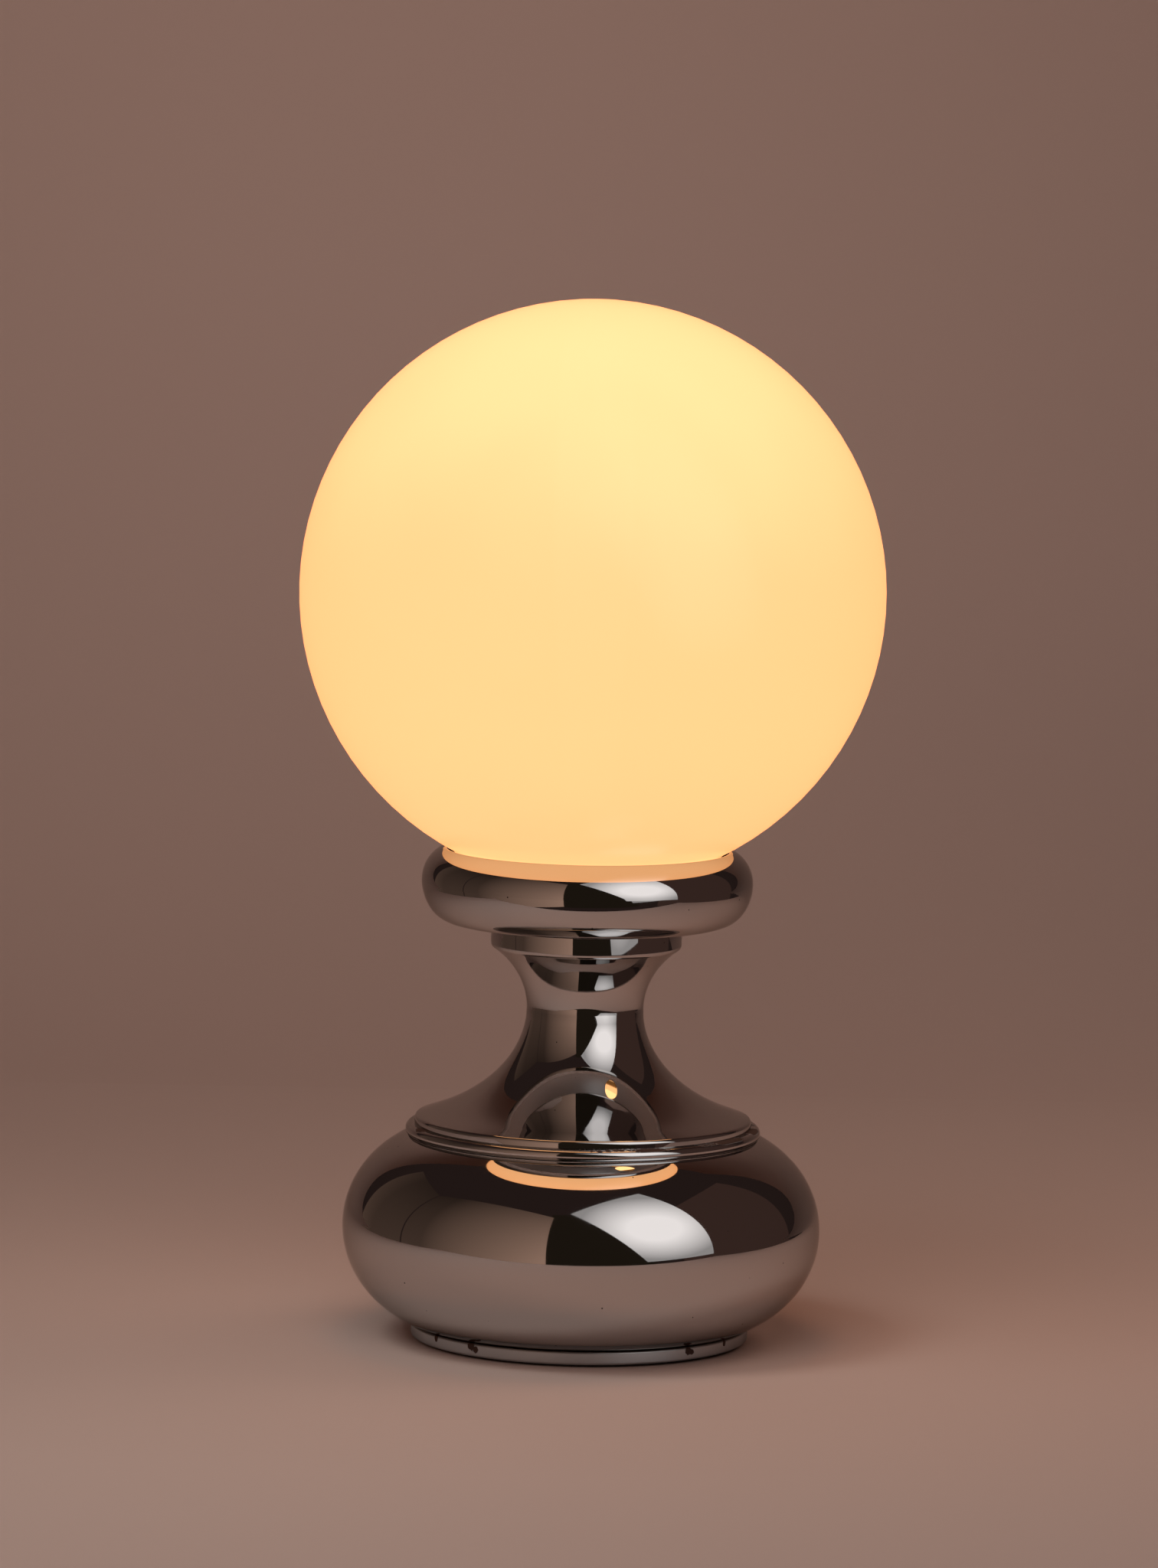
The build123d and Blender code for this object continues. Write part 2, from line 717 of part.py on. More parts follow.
# Washer and nut in the gallery, and the riser on top of them
with BuildPart() as gallery_washer:
    with BuildSketch(Plane.XY.offset(floor_z)):
        Circle(gallery_washer_radius)
        Circle(rod_hole_radius, mode=Mode.SUBTRACT)
    extrude(amount=gallery_washer_thickness)
gallery_washer.part.label = "gallery_washer"
export_step(gallery_washer.part, "parts/gallery_washer.step")

with BuildPart() as gallery_nut:
    with BuildSketch(Plane.XY.offset(gallery_nut_z)):
        RegularPolygon(rod_nut_flats / 2, nut_sides, major_radius=False)
        Circle(rod_thread_radius, mode=Mode.SUBTRACT)
    extrude(amount=rod_nut_height)
gallery_nut.part.label = "gallery_nut"
export_step(gallery_nut.part, "parts/gallery_nut.step")

with BuildPart() as riser_tube:
    with BuildSketch(Plane.XY.offset(riser_z)):
        Circle(rod_hole_radius + riser_wall)
        Circle(rod_hole_radius, mode=Mode.SUBTRACT)
    extrude(amount=riser_length)
riser_tube.part.label = "riser_tube"
export_step(riser_tube.part, "parts/riser_tube.step")

# Gasket that the globe's neck stands on
with BuildPart() as shade_gasket:
    with BuildSketch(Plane.XY.offset(floor_z)):
        Circle(globe_neck_radius + gasket_margin)
        Circle(globe_neck_inner - gasket_margin, mode=Mode.SUBTRACT)
    extrude(amount=gasket_thickness)
shade_gasket.part.label = "shade_gasket"
export_step(shade_gasket.part, "parts/shade_gasket.step")

# Globe shade: a blown ball with a short straight neck
with BuildPart() as globe_shade:
    with BuildSketch(Plane.XZ):
        with BuildLine():
            ball_start = degrees(atan2(globe_joint_z - globe_z, globe_neck_radius))
            hollow_joint_z = globe_z - sqrt((globe_radius - globe_wall) ** 2 - globe_neck_inner**2)
            hollow_start = degrees(atan2(hollow_joint_z - globe_z, globe_neck_inner))
            ball = CenterArc((0, globe_z), globe_radius, ball_start, 90 - ball_start)
            hollow = CenterArc((0, globe_z), globe_radius - globe_wall, hollow_start, 90 - hollow_start)
            Line(ball @ 1, hollow @ 1)
            Polyline(
                ball @ 0,
                (globe_neck_radius, globe_rim_z),
                (globe_neck_inner, globe_rim_z),
                hollow @ 0,
            )
        make_face()
    revolve()
    neck_corner = globe_shade.edges().filter_by(GeomType.CIRCLE).group_by(Axis.Z)[1]
    fillet(neck_corner, globe_neck_fillet)
    fillet(globe_shade.edges().filter_by(GeomType.CIRCLE).group_by(Axis.Z)[0], globe_rim_round)
globe_shade.part.label = "globe_shade"
export_step(globe_shade.part, "parts/globe_shade.step")

# Lampholder, from the cap on the rod up to the skirt
with BuildPart() as holder_cap:
    with BuildSketch(Plane.XZ):
        with BuildLine():
            EllipticalCenterArc(
                (holder_boss_radius, holder_dome_z),
                holder_radius - holder_boss_radius,
                holder_dome_height,
                -90,
                arc_size=90,
            )
            EllipticalCenterArc(
                (holder_boss_radius, holder_dome_z),
                holder_radius - holder_boss_radius - holder_cap_wall,
                holder_dome_height - holder_floor,
                -90,
                arc_size=90,
            )
            Polyline(
                (holder_radius, holder_dome_z),
                (holder_radius, insert_z),
                (holder_radius - holder_cap_wall, insert_z),
                (holder_radius - holder_cap_wall, holder_dome_z),
            )
            Polyline(
                (holder_boss_radius, rod_top),
                (rod_thread_radius, rod_top),
                (rod_thread_radius, holder_z),
                (holder_boss_radius, holder_z),
                (holder_boss_radius, holder_z + holder_boss_height),
            )
        make_face()
    revolve()
holder_cap.part.label = "holder_cap"
export_step(holder_cap.part, "parts/holder_cap.step")

with BuildPart() as holder_insert:
    with BuildSketch(Plane.XY.offset(insert_underside)):
        Circle(holder_radius - holder_cap_wall - hole_clearance)
    extrude(amount=insert_plug_depth)
    with BuildSketch(Plane.XY.offset(insert_z)):
        Circle(holder_radius)
    extrude(amount=insert_flange)
    with BuildSketch(Plane.XY.offset(skirt_z)):
        Circle(holder_radius - skirt_wall - hole_clearance)
    extrude(amount=insert_top_plug)
holder_insert.part.label = "holder_insert"
export_step(holder_insert.part, "parts/holder_insert.step")

with BuildPart() as holder_screws:
    with BuildSketch(Plane.XY.offset(insert_underside)):
        for side in (-1, 1):
            with Locations((side * terminal_spread, holder_screw_offset)):
                Circle(holder_screw_radius)
    extrude(amount=-holder_screw_height)
holder_screws.part.label = "holder_screws"
export_step(holder_screws.part, "parts/holder_screws.step")

with BuildPart() as holder_skirt:
    with BuildSketch(Plane.XY.offset(skirt_z)):
        Circle(holder_radius)
        Circle(holder_radius - skirt_wall, mode=Mode.SUBTRACT)
    extrude(amount=skirt_height)
    fillet(holder_skirt.faces().sort_by(Axis.Z)[-1].edges(), skirt_round)
holder_skirt.part.label = "holder_skirt"
export_step(holder_skirt.part, "parts/holder_skirt.step")

with BuildPart() as screw_shell:
    with BuildSketch(Plane.XY.offset(insert_top)):
        Circle(shell_bore_radius + shell_wall)
        Circle(shell_foot_radius, mode=Mode.SUBTRACT)
    extrude(amount=shell_foot_thickness)
    with BuildSketch(Plane.XY.offset(insert_top)):
        Circle(shell_bore_radius + shell_wall)
        Circle(shell_bore_radius, mode=Mode.SUBTRACT)
    extrude(amount=shell_height)
screw_shell.part.label = "screw_shell"
export_step(screw_shell.part, "parts/screw_shell.step")

with BuildPart() as centre_contact:
    with BuildSketch(Plane.XY.offset(insert_top)):
        Circle(contact_foot_radius)
    extrude(amount=contact_foot_thickness)
    with BuildSketch(Plane.XY.offset(insert_top)):
        Circle(contact_radius)
    extrude(amount=contact_height)
centre_contact.part.label = "centre_contact"
export_step(centre_contact.part, "parts/centre_contact.step")

# Bulb, from its tip contact up
with BuildPart() as bulb_tip:
    with Locations((0, 0, tip_z)):
        Cone(
            tip_radius,
            insulator_low_radius,
            tip_height,
            align=(Align.CENTER, Align.CENTER, Align.MIN),
        )
bulb_tip.part.label = "bulb_tip"
export_step(bulb_tip.part, "parts/bulb_tip.step")

with BuildPart() as bulb_insulator:
    with Locations((0, 0, tip_z + tip_height)):
        Cone(
            insulator_low_radius,
            bulb_cap_inner,
            insulator_height,
            align=(Align.CENTER, Align.CENTER, Align.MIN),
        )
bulb_insulator.part.label = "bulb_insulator"
export_step(bulb_insulator.part, "parts/bulb_insulator.step")

with BuildPart() as bulb_cap:
    with BuildSketch(Plane.XY.offset(bulb_cap_z)):
        Circle(bulb_cap_radius - thread_depth)
        Circle(bulb_cap_inner, mode=Mode.SUBTRACT)
    extrude(amount=cap_height)
    with BuildSketch(Plane.XZ):
        for turn in range(thread_turns):
            ridge_z = bulb_cap_z + (turn + 1) * thread_pitch
            with BuildLine():
                ThreePointArc(
                    (bulb_cap_radius - thread_depth, ridge_z - ridge_half_width),
                    (bulb_cap_radius, ridge_z),
                    (bulb_cap_radius - thread_depth, ridge_z + ridge_half_width),
                )
                Polyline(
                    (bulb_cap_radius - thread_depth, ridge_z + ridge_half_width),
                    (bulb_cap_inner, ridge_z + ridge_half_width),
                    (bulb_cap_inner, ridge_z - ridge_half_width),
                    (bulb_cap_radius - thread_depth, ridge_z - ridge_half_width),
                )
            make_face()
    revolve()
bulb_cap.part.label = "bulb_cap"
export_step(bulb_cap.part, "parts/bulb_cap.step")

with BuildPart() as bulb_envelope:
    for skin, wall in ((Mode.ADD, 0), (Mode.SUBTRACT, glass_wall)):
        with BuildSketch(Plane.XZ):
            with BuildLine():
                dome = CenterArc(
                    (0, bulb_ball_z), bulb_ball_radius - wall, -bulb_ball_angle, 90 + bulb_ball_angle
                )
                throat = CenterArc(
                    (bulb_neck_radius + bulb_curve, bulb_curve_z),
                    bulb_curve + wall,
                    180,
                    -bulb_ball_angle,
                )
                Polyline(
                    throat @ 0,
                    (bulb_neck_radius - wall, bulb_cap_top + bulb_neck_rise),
                    (glass_seat_radius - wall, bulb_cap_top),
                    (glass_seat_radius - wall, bulb_cap_top - glass_seat),
                    (0, bulb_cap_top - glass_seat),
                    dome @ 1,
                )
            make_face()
        revolve(mode=skin)
bulb_envelope.part.label = "bulb_envelope"
export_step(bulb_envelope.part, "parts/bulb_envelope.step")

with BuildPart() as bulb_stem:
    with BuildSketch(Plane.XY.offset(bulb_cap_top - glass_seat)):
        Circle(glass_seat_radius - glass_wall - glass_fit)
    extrude(amount=stem_foot)
    with BuildSketch(Plane.XY.offset(bulb_cap_top - glass_seat + stem_foot)):
        Circle(stem_radius)
    extrude(amount=stem_height)
bulb_stem.part.label = "bulb_stem"
export_step(bulb_stem.part, "parts/bulb_stem.step")

with BuildPart() as bulb_wires:
    for side in (-1, 1):
        with BuildLine() as wire_path:
            FilletPolyline(
                (side * wire_root, 0, stem_top),
                (side * wire_root, 0, stem_top + wire_rise),
                (side * wire_reach, 0, stem_top + wire_rise + wire_slope),
                (side * wire_reach, 0, stem_top + wire_rise + wire_slope + wire_end),
                radius=wire_bend,
            )
        with BuildSketch(Plane(origin=wire_path.line @ 0, z_dir=wire_path.line % 0)):
            Circle(wire_radius)
        sweep(path=wire_path.line)
bulb_wires.part.label = "bulb_wires"
export_step(bulb_wires.part, "parts/bulb_wires.step")

with BuildPart() as bulb_filament:
    with BuildSketch(Plane.YZ.offset(-filament_length / 2)):
        with Locations((0, filament_z)):
            Circle(filament_radius)
    extrude(amount=filament_length)
bulb_filament.part.label = "bulb_filament"
export_step(bulb_filament.part, "parts/bulb_filament.step")

# Terminal block on the weight, where the lead from outside meets the leads inside
with BuildPart() as terminal_block:
    with BuildSketch(Plane.XY.offset(weight_top)):
        with Locations((0, block_offset)):
            RectangleRounded(block_width, block_depth, block_round)
            with GridLocations(block_pitch, 0, fix_screw_count, 1):
                Circle(fix_screw_radius + hole_clearance, mode=Mode.SUBTRACT)
    extrude(amount=block_height)
    with BuildSketch(Plane.XZ.offset(-block_offset - block_depth / 2)):
        with Locations((0, pole_z)):
            with GridLocations(block_pitch, 0, pole_count, 1):
                Circle(pole_bore_radius)
    extrude(amount=block_depth, mode=Mode.SUBTRACT)
    with BuildSketch(Plane.XY.offset(pole_z)):
        with Locations((0, block_offset)):
            with GridLocations(block_pitch, pole_screw_spacing, pole_count, screws_per_pole):
                Circle(pole_screw_radius + thread_clearance)
    extrude(amount=block_height - pole_bore_height, mode=Mode.SUBTRACT)
    with BuildSketch(Plane.XY.offset(block_top)):
        with Locations((0, block_offset)):
            with GridLocations(block_pitch, 0, fix_screw_count, 1):
                Circle(fix_screw_head_radius + hole_clearance)
    extrude(amount=-fix_screw_head_height, mode=Mode.SUBTRACT)
terminal_block.part.label = "terminal_block"
export_step(terminal_block.part, "parts/terminal_block.step")

with BuildPart() as pole_screws:
    with BuildSketch(Plane.XY.offset(pole_screw_low)):
        with Locations((0, block_offset)):
            with GridLocations(block_pitch, pole_screw_spacing, pole_count, screws_per_pole):
                Circle(pole_screw_radius)
    extrude(amount=block_top - pole_screw_sink - pole_screw_low)
pole_screws.part.label = "pole_screws"
export_step(pole_screws.part, "parts/pole_screws.step")

with BuildPart() as block_screws:
    with BuildSketch(Plane.XY.offset(weight_top - fix_screw_grip)):
        with Locations((0, block_offset)):
            with GridLocations(block_pitch, 0, fix_screw_count, 1):
                Circle(fix_screw_radius)
    extrude(amount=fix_screw_grip + block_height - fix_screw_head_height)
    with BuildSketch(Plane.XY.offset(block_top - fix_screw_head_height)):
        with Locations((0, block_offset)):
            with GridLocations(block_pitch, 0, fix_screw_count, 1):
                Circle(fix_screw_head_radius)
    extrude(amount=fix_screw_head_height)
block_screws.part.label = "block_screws"
export_step(block_screws.part, "parts/block_screws.step")

# Leads from the block, up the rod, to the holder's terminals
lead_bends = (lead_bend, lead_gather_bend, lead_top_bend, lead_top_bend)
for name, side in (("live_lead", -1), ("neutral_lead", 1)):
    with BuildPart() as lead:
        with BuildLine() as lead_path:
            FilletPolyline(
                (side * block_pitch, lead_start, pole_z),
                (side * block_pitch, lead_start - lead_insertion - lead_run, pole_z),
                (side * lead_spread, 0, rod_low - lead_gather),
                (side * lead_spread, 0, rod_top + lead_top_rise),
                (side * terminal_spread, 0, insert_underside - lead_tail),
                (side * terminal_spread, 0, insert_underside),
                radius=lead_bends,
            )
        with BuildSketch(Plane(origin=lead_path.line @ 0, z_dir=lead_path.line % 0)):
            Circle(lead_radius)
        sweep()
    lead.part.label = name
    export_step(lead.part, f"parts/{name}.step")

# Earth lead, from the block's middle pole to the tag under the crown
with BuildPart() as earth_lead:
    with BuildLine() as earth_path:
        FilletPolyline(
            (0, lead_start, pole_z),
            (0, tag_reach, pole_z),
            (0, tag_reach, tag_z),
            radius=lead_bend,
        )
    with BuildSketch(Plane(origin=earth_path.line @ 0, z_dir=earth_path.line % 0)):
        Circle(lead_radius)
    sweep()
earth_lead.part.label = "earth_lead"
export_step(earth_lead.part, "parts/earth_lead.step")
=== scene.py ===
"""Dresses the globe table lamp: chrome shells, a lit opal ball, a frosted bulb and a plain studio."""

import json
from math import acos, asin, atan2, cos, degrees, pi, radians, sin, sqrt

import bmesh
import bpy
from mathutils import Matrix, Quaternion, Vector


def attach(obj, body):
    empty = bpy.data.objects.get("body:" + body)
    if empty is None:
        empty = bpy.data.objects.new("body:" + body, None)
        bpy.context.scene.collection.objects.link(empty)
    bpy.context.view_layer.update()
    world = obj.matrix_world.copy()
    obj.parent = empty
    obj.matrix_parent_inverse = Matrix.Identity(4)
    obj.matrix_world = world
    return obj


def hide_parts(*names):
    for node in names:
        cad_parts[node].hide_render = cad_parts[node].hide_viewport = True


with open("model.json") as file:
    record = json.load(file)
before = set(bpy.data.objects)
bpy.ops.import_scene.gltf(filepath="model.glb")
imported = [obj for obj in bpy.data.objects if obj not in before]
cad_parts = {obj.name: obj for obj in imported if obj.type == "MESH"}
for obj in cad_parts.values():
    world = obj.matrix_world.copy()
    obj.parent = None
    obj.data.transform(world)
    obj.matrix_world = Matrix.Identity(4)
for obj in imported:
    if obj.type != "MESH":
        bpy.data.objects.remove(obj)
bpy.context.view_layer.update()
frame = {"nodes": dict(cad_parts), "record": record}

# Sizes are in millimetres, as in the part's source, and become metres where a vertex is made
MM = 0.001
TURN_STEPS = 224
ARC_STEP_DEGREES = 4.0
ARC_LEAST_STEPS = 3
DRILL_SIDES = 48
NECK_BEVEL_STEPS = 6
CREASE_ANGLE = radians(32)
MERGE_DISTANCE = 1e-7

# Base bowl and foot
SHEET = 1.2
BOWL_CENTRE = (54.3, 48.061)
BOWL_HALF = (48.25, 44.4)
BOWL_CROWN_ANGLE = 81.6
BOWL_FOOT_ANGLE = 69.4
CROWN_Z = 91.985
FLANGE_Z = 6.5
OPENING_RADIUS = 60.976
ROD_HOLE_RADIUS = 5.3
FOOT_RADIUS = 72.276
FOOT_INNER_RADIUS = 70.276
FOOT_LIFT = 0.8
FOOT_ROUND = 0.9
PLATE_TOP = 4.0
INLET_POINT = (0.0, 96.5, 26.535)
INLET_DIRECTION = (0.0, 0.8566, -0.516)
INLET_RADIUS = 5.3
INLET_DEPTH = 16.0

# Shoulder ring
SHOULDER_TOP = 92.785
BEAD_CENTRE_RADIUS = 73.477
BEAD_RADIUS = 2.6
BEAD_END_ANGLE = -46.0
SHOULDER_LAND = 8.0
NEST_GAP = 0.2

# Neck column
WAIST_RADIUS = 25.0
WAIST_Z = 142.753
FLARE_HALF = (75.818, 50.3)
FLARE_ANGLE = 61.8
FLARE_EDGE = 1.635
FLARE_RADIUS = 72.177
FLARE_EDGE_Z = 94.713
UPPER_HALF = (40.55, 33.86)
UPPER_ANGLE = 50.57
COLLAR_RADIUS = 40.88
COLLAR_EDGE = 2.5
COLLAR_EDGE_Z = 170.967
COLLAR_TOP_ROUND = 1.5
COLLAR_LEAST_ROUND = 0.2
NECK_TOP = 179.967

# Gallery ring
FLOOR_RADIUS = 57.3
GALLERY_MID_Z = 197.767
GALLERY_LOWER = (13.6, 17.8)
GALLERY_RADIUS = 70.9
LIP_CENTRE = (61.5, 209.114)
LIP_RADIUS = 2.5
LIP_TURN = 160.0
VENT_COUNT = 2
VENT_RADIUS = 8.01
VENT_CIRCLE = 49.09
VENT_START = -47.5
UNDERSIDE_SLOPE = 0.995

# Globe shade
GLOBE_RADIUS = 125.0
GLOBE_WALL = 3.0
GLOBE_Z = 321.372
GLOBE_NECK_RADIUS = 56.0
GLOBE_RIM_Z = 184.667
GLOBE_RIM_ROUND = 0.8
GLOBE_NECK_ROUND = 3.0

# Bulb
BULB_CAP_TOP = 284.767
BULB_NECK_RADIUS = 15.0
BULB_NECK_RISE = 3.0
BULB_NECK_STRAIGHT = 2.4
BULB_BALL_RADIUS = 30.0
BULB_BALL_ANGLE = 38.0
GLASS_WALL = 0.8
GLASS_SEAT = 14.0
GLASS_SEAT_RADIUS = 11.65


# Profiles and turned shells


def point(shape, radius, height):
    """A corner of a profile, in the XZ plane."""
    return shape.verts.new((radius * MM, 0, height * MM))


def arc(shape, centre, half, start, turn):
    """An arc of a profile: one vertex swung round the centre, then flattened to the ellipse."""
    radius, height = centre
    half_width, half_height = half
    first = point(
        shape,
        radius + half_width * cos(radians(start)),
        height + half_width * sin(radians(start)),
    )
    middle = Vector((radius * MM, 0, height * MM))
    count = len(shape.verts)
    swing = bmesh.ops.spin(
        shape,
        geom=[first],
        cent=middle,
        axis=(0, -1, 0),
        angle=radians(turn),
        steps=max(ARC_LEAST_STEPS, round(abs(turn) / ARC_STEP_DEGREES)),
    )
    shape.verts.ensure_lookup_table()
    swept = [first] + shape.verts[count:]
    bmesh.ops.scale(
        shape,
        vec=(1, 1, half_height / half_width),
        space=Matrix.Translation(-middle),
        verts=swept,
    )
    last = [item for item in swing["geom_last"] if isinstance(item, bmesh.types.BMVert)][0]
    return first, last


def join(shape, *corners):
    """Straight edges from each corner to the next."""
    for start, end in zip(corners, corners[1:]):
        shape.edges.new((start, end))


def turn_on_lathe(shape):
    """Spins the whole profile once round the lamp's axis."""
    bmesh.ops.spin(
        shape,
        geom=shape.verts[:] + shape.edges[:],
        cent=(0, 0, 0),
        axis=(0, 0, 1),
        angle=2 * pi,
        steps=TURN_STEPS,
        use_merge=True,
    )
    bmesh.ops.remove_doubles(shape, verts=shape.verts, dist=MERGE_DISTANCE)
    bmesh.ops.recalc_face_normals(shape, faces=shape.faces)


def make_object(name, shape):
    mesh = bpy.data.meshes.new(name)
    shape.to_mesh(mesh)
    shape.free()
    piece = bpy.data.objects.new(name, mesh)
    bpy.context.scene.collection.objects.link(piece)
    return piece


def drill(piece, radius, depth, places):
    """Cuts a round hole through the piece at each place, given as a point and a direction."""
    for spot, direction in places:
        bit = bmesh.new()
        bmesh.ops.create_cone(
            bit,
            cap_ends=True,
            segments=DRILL_SIDES,
            radius1=radius * MM,
            radius2=radius * MM,
            depth=2 * depth * MM,
            matrix=Matrix.Translation(Vector(spot) * MM)
            @ Vector(direction).to_track_quat("Z", "Y").to_matrix().to_4x4(),
        )
        cutter = make_object("drill_bit", bit)
        cut = piece.modifiers.new("hole", "BOOLEAN")
        cut.operation = "DIFFERENCE"
        cut.object = cutter
        whole = piece.evaluated_get(bpy.context.evaluated_depsgraph_get())
        drilled = bpy.data.meshes.new_from_object(whole)
        piece.modifiers.clear()
        solid = piece.data
        piece.data = drilled
        drilled.name = piece.name
        bpy.data.meshes.remove(solid)
        bpy.data.objects.remove(cutter)


def dress(piece, body, slot, nodes, *materials):
    """Gives the piece its finish and its place on a body, and lets it stand for its CAD nodes."""
    piece.data.shade_smooth()
    piece.data.set_sharp_from_angle(angle=CREASE_ANGLE)
    for material in materials:
        piece.data.materials.append(material)
    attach(piece, body)
    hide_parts(*nodes)
    return piece


# Materials

# Old plate. Scales are per metre, and a range runs from where an effect starts to where it is full
CHROME_TINT = (0.6, 0.605, 0.61, 1.0)
CHROME_EDGE = (0.62, 0.6, 0.58, 1.0)
PIT_TINT = (0.05, 0.04, 0.035, 1.0)
PIT_CELLS = 420.0
PIT_SHARE = 0.02
PIT_SIZE = 0.2
PIT_METAL_LOSS = 0.6
SMUDGE_SCALE = 34.0
SMUDGE_DETAIL = 6.0
SMUDGE_GRIT = 0.6
SMUDGE_RANGE = (0.45, 0.75)
RIPPLE_SCALE = 22.0
RIPPLE_DETAIL = 1.0
RIPPLE_STRENGTH = 0.03
RIPPLE_DEPTH = 0.004

# Roughness of each plate, clean and smudged
POLISHED_ROUGHNESS = (0.03, 0.07)
SATIN_ROUGHNESS = (0.42, 0.5)
SHOULDER_ROUGHNESS = (0.06, 0.14)
FOOT_ROUGHNESS = (0.34, 0.46)

# Rust along a seam, and a band darkest at the seam that is partly grime and partly painted shade
RUST_TINT = (0.06, 0.03, 0.022, 1.0)
RUST_PATCH_SCALE = 62.0
RUST_PATCH_DETAIL = 1.0
RUST_GRAIN_SCALE = 700.0
RUST_GRAIN_DETAIL = 3.0
RUST_GRAIN_SHARE = 0.25
RUST_PULL = 0.12  # rust gathers this much more close to the seam
RUST_PULL_RANGE = (0.0, 0.7)
RUST_RANGE = (0.2, 0.23)
RUST_ROUGHNESS = 0.6
RUST_METAL_LOSS = 0.9
SEAM_RANGE = (0.0, 0.25)
SHOULDER_SEAM_REACH = 1.2
SHOULDER_SEAM_COVER = 0.6
GRIME_AND_SHADE_TINT = (0.2, 0.18, 0.165, 1.0)
GRIME_AND_SHADE_RANGE = (0.2, 1.0)
GRIME_AND_SHADE_SHARE = 0.25
GRIME_ROUGHNESS = 0.12

# Foot: each rust speck's direction from the front in degrees, its height and its size
FOOT_TINT = (0.48, 0.52, 0.55, 1.0)
# The foot's top band under the bowl is darkened partly by grime and partly by painted shade.
FOOT_GRIME_AND_SHADE_REACH = 1.6
FOOT_SEAM_COVER = 1.0
FOOT_SPECKS = (
    (-57.0, 5.2, 1.5),
    (-39.0, 5.0, 1.9),
    (-37.0, 4.0, 1.5),
    (40.0, 4.8, 1.8),
    (41.5, 4.2, 1.3),
    (59.0, 5.2, 1.3),
)
SPECK_FAR = 9.0
SPECK_GRAIN_SCALE = 900.0
SPECK_GRAIN_DETAIL = 3.0
SPECK_RANGE = (1.3, 1.6)
SPECK_ROUGHNESS = 0.5

# Opal glass: heights in metres, between which one glow runs into the next
OPAL_PALE = (0.15, 0.13, 0.1, 1.0)
OPAL_PALE_PATCH = (0.18, 0.16, 0.126, 1.0)
OPAL_CLOUD_SCALE = 9.0
OPAL_CLOUD_DETAIL = 2.0
OPAL_WANDER = 0.05
OPAL_LOW_RANGE = (0.195, 0.27)
OPAL_HIGH_RANGE = (0.33, 0.45)
LIMB_BLEND = 0.35
LIMB_POWER = 3.0

# Mottle of the plain parts
PATCH_DETAIL = 5.0
PATCH_GRIT = 0.6
PATCH_RANGE = (0.35, 0.7)
GRAIN_DETAIL = 3.0
MOTTLE_SHARE = 0.5
MOTTLE_DEPTH = 0.001

NOISE_GRIT = 0.5
NOISE_MEAN = 0.5
WHOLE = (0.0, 1.0)


def add(tree, kind, inputs=None, **settings):
    """A node with its settings, and its inputs set to a value or linked to a socket."""
    made = tree.nodes.new(kind)
    for key, value in settings.items():
        setattr(made, key, value)
    for key, value in (inputs or {}).items():
        if isinstance(value, bpy.types.NodeSocket):
            tree.links.new(value, made.inputs[key])
        else:
            made.inputs[key].default_value = value
    return made


def start_group(name, inputs, outputs):
    """A shader group with its sockets, each given by its name and its kind."""
    group = bpy.data.node_groups.new(name, "ShaderNodeTree")
    for label, kind in inputs:
        group.interface.new_socket(label, in_out="INPUT", socket_type=kind)
    for label, kind in outputs:
        group.interface.new_socket(label, in_out="OUTPUT", socket_type=kind)
    return group, add(group, "NodeGroupInput"), add(group, "NodeGroupOutput")


def surface_place(tree):
    return add(tree, "ShaderNodeTexCoord").outputs["Object"]


def noise(tree, place, scale, detail, grit=NOISE_GRIT):
    """Soft random values over the surface."""
    made = add(
        tree,
        "ShaderNodeTexNoise",
        {"Vector": place, "Scale": scale, "Detail": detail, "Roughness": grit},
    )
    return made.outputs["Fac"]


def fade(tree, value, low, high):
    """0 below low, 1 above high, and a soft step between them."""
    step = add(
        tree,
        "ShaderNodeMapRange",
        {"Value": value, "From Min": low, "From Max": high},
        interpolation_type="SMOOTHSTEP",
    )
    return step.outputs["Result"]


def ramp(tree, value, span, levels):
    """A straight change from one level to the other, over the span of the value."""
    made = add(
        tree,
        "ShaderNodeMapRange",
        {
            "Value": value,
            "From Min": span[0],
            "From Max": span[1],
            "To Min": levels[0],
            "To Max": levels[1],
        },
    )
    return made.outputs["Result"]


def maths(tree, operation, first, second=0.0):
    made = add(tree, "ShaderNodeMath", {0: first, 1: second}, operation=operation)
    return made.outputs["Value"]


def mix(tree, share, first, second):
    """A blend of two colours, the second one by the given share."""
    made = add(tree, "ShaderNodeMix", data_type="RGBA")
    for socket, value in (("Factor_Float", share), ("A_Color", first), ("B_Color", second)):
        target = [item for item in made.inputs if item.identifier == socket][0]
        if isinstance(value, bpy.types.NodeSocket):
            tree.links.new(value, target)
        else:
            target.default_value = value
    return [item for item in made.outputs if item.identifier == "Result_Color"][0]


